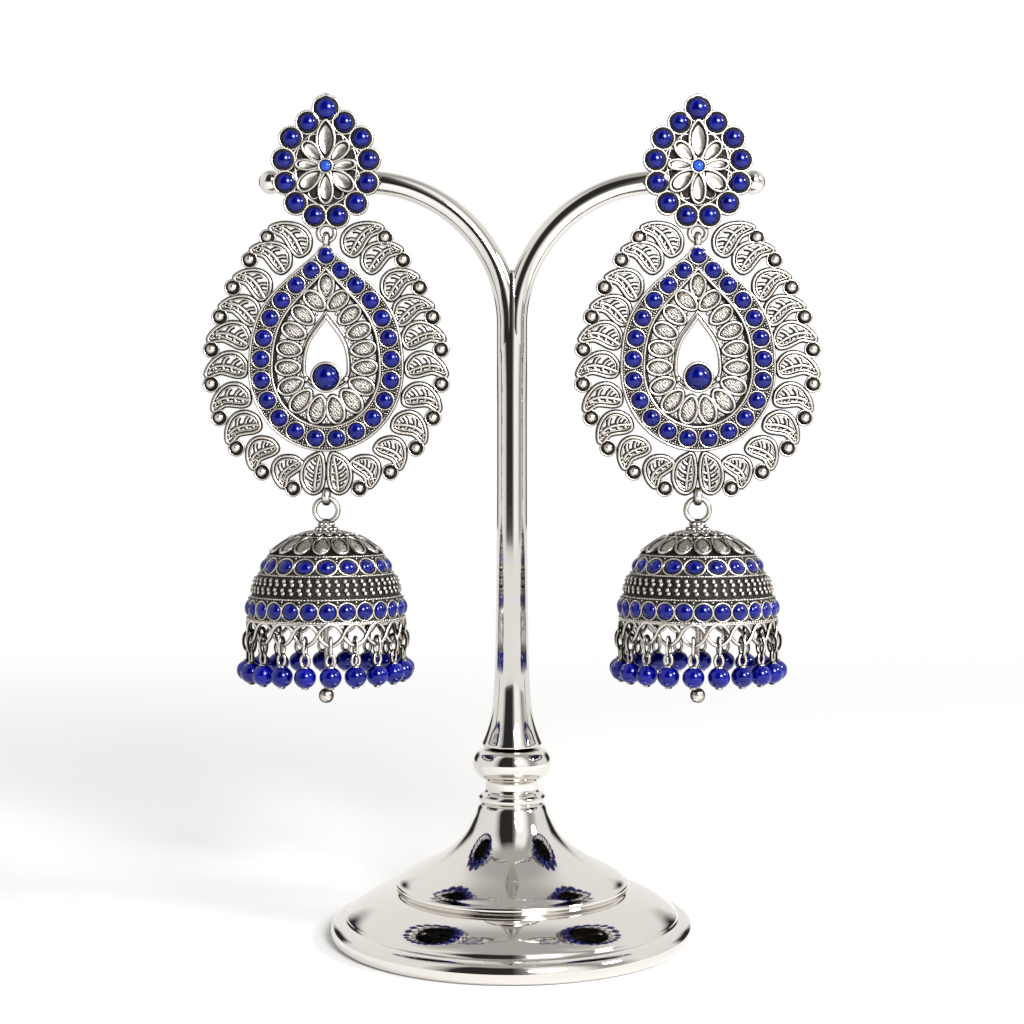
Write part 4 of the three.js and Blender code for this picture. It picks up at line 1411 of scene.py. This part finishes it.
def soft_light(name, place, aim, size, power):
    light = bpy.data.lights.new(name, "AREA")
    light.shape = "DISK"
    light.size = size
    light.energy = power
    lamp = bpy.data.objects.new(name, light)
    lamp.location = place
    lamp.rotation_euler = (Vector(aim) - Vector(place)).to_track_quat("-Z", "Y").to_euler()
    bpy.context.collection.objects.link(lamp)


def surrounding_light():
    """A bright studio with darker zones, which polished silver shows as bands."""
    world = bpy.data.worlds.new("Studio")
    world.use_nodes = True
    room = Finish(world.node_tree)
    direction = room.node("TexCoord", output="Generated")
    side = room.along(direction, (1, 0, 0))
    front = room.along(direction, (0, -1, 0))
    turn = room.math("ARCTAN2", side, front)
    bands = room.node("ValToRGB", None, (turn * (0.5 / math.pi) + 0.5,), "Color")
    stops = bands.socket.node.color_ramp.elements
    while len(stops) < len(BAND_TONES):
        stops.new(0.5)
    for stop, (position, tone) in zip(stops, BAND_TONES):
        stop.position = position
        stop.color = (tone, tone * 0.99, tone * 0.97, 1)
    up = room.along(direction, (0, 0, 1))
    high = room.blend(room.between(up, 0.72, 0.95), colour((1.0, 0.99, 0.97)), colour((0.5, 0.49, 0.48)))
    behind = room.between(front, 0.15, -0.1)
    above = room.math("MAXIMUM", room.between(up, 0.86, 0.98), room.between(up, 0.25, 0.45) * behind)
    studio = room.blend(above, bands, high)
    seen = room.node("LightPath", output="Is Camera Ray")
    glow = room.node("Background", None, {"Color": room.blend(seen, studio, colour(BACKDROP))}, "Background")
    output = world.node_tree.nodes.new("ShaderNodeOutputWorld")
    world.node_tree.links.new(glow.socket, output.inputs["Surface"])
    bpy.context.scene.world = world


def set_stage():
    floor = turned([(2500, -10), (2500, 0), (1200, 0), (400, 0), (10, 0)], "floor", 96)
    floor.name = "pale_floor"
    floor.data.transform(Matrix.Scale(MM, 4))
    surrounding_light()
    for light in LIGHTS:
        soft_light(*light)
    camera = bpy.data.cameras.new("Camera")
    for setting_name, value in CAMERA.items():
        setattr(camera, setting_name, value)
    eye = bpy.data.objects.new("Camera", camera)
    eye.location = CAMERA_PLACE
    eye.rotation_euler = (math.pi / 2, 0, 0)
    bpy.context.collection.objects.link(eye)
    bpy.context.scene.camera = eye
    bpy.context.scene.view_settings.view_transform = "Standard"


# Operators and panel


class StandOperator(bpy.types.Operator):
    """Models the foot and the fork of the stand"""

    bl_idname = "earrings.stand"
    bl_label = "Stand"

    def execute(self, context):
        model_foot()
        model_fork()
        return {"FINISHED"}


class StudOperator(bpy.types.Operator):
    """Models both studs with their stones, posts and nuts"""

    bl_idname = "earrings.studs"
    bl_label = "Studs"

    def execute(self, context):
        model_studs()
        for side in SIDES:
            model_stud_stone(side)
            model_ear_nut(side)
        return {"FINISHED"}


class PendantOperator(bpy.types.Operator):
    """Models both pierced pendants"""

    bl_idname = "earrings.pendants"
    bl_label = "Pendants"

    def execute(self, context):
        model_pendants()
        return {"FINISHED"}


class BellOperator(bpy.types.Operator):
    """Models both bells with their pins"""

    bl_idname = "earrings.bells"
    bl_label = "Bells"

    def execute(self, context):
        for side in SIDES:
            model_bell(side)
            model_pin(side)
        return {"FINISHED"}


class DropOperator(bpy.types.Operator):
    """Models the beads that hang from the bells' loops"""

    bl_idname = "earrings.drops"
    bl_label = "Bead drops"

    def execute(self, context):
        for side in SIDES:
            model_drops(side)
        return {"FINISHED"}


class StageOperator(bpy.types.Operator):
    """Sets the floor, the lights and the camera"""

    bl_idname = "earrings.stage"
    bl_label = "Stage"

    def execute(self, context):
        set_stage()
        return {"FINISHED"}


class EarringsPanel(bpy.types.Panel):
    """Lists the pieces and the stage"""

    bl_idname = "VIEW3D_PT_earrings"
    bl_label = "Bell earrings"
    bl_space_type = "VIEW_3D"
    bl_region_type = "UI"
    bl_category = "Earrings"

    def draw(self, context):
        for operator in STEPS:
            self.layout.operator(operator.bl_idname)
        for name in GROUPS:
            sizes = getattr(context.scene, name)
            for key in sizes.bl_rna.properties.keys():
                if key not in {"rna_type", "name"}:
                    self.layout.prop(sizes, key)


STEPS = (StandOperator, StudOperator, PendantOperator, BellOperator, DropOperator, StageOperator)
GROUPS = {
    "stand_sizes": StandSizes,
    "stud_sizes": StudSizes,
    "pendant_sizes": PendantSizes,
    "bell_sizes": BellSizes,
    "earring_looks": Looks,
}


def register():
    for kind in (*GROUPS.values(), *STEPS, EarringsPanel):
        bpy.utils.register_class(kind)
    for name, kind in GROUPS.items():
        setattr(bpy.types.Scene, name, bpy.props.PointerProperty(type=kind))


def unregister():
    for name in GROUPS:
        delattr(bpy.types.Scene, name)
    for kind in (EarringsPanel, *reversed(STEPS), *reversed(GROUPS.values())):
        bpy.utils.unregister_class(kind)


def main():
    register()
    mix_finishes()
    bpy.ops.earrings.stand()
    bpy.ops.earrings.studs()
    bpy.ops.earrings.pendants()
    bpy.ops.earrings.bells()
    bpy.ops.earrings.drops()
    bpy.ops.earrings.stage()


if __name__ == "__main__":
    main()
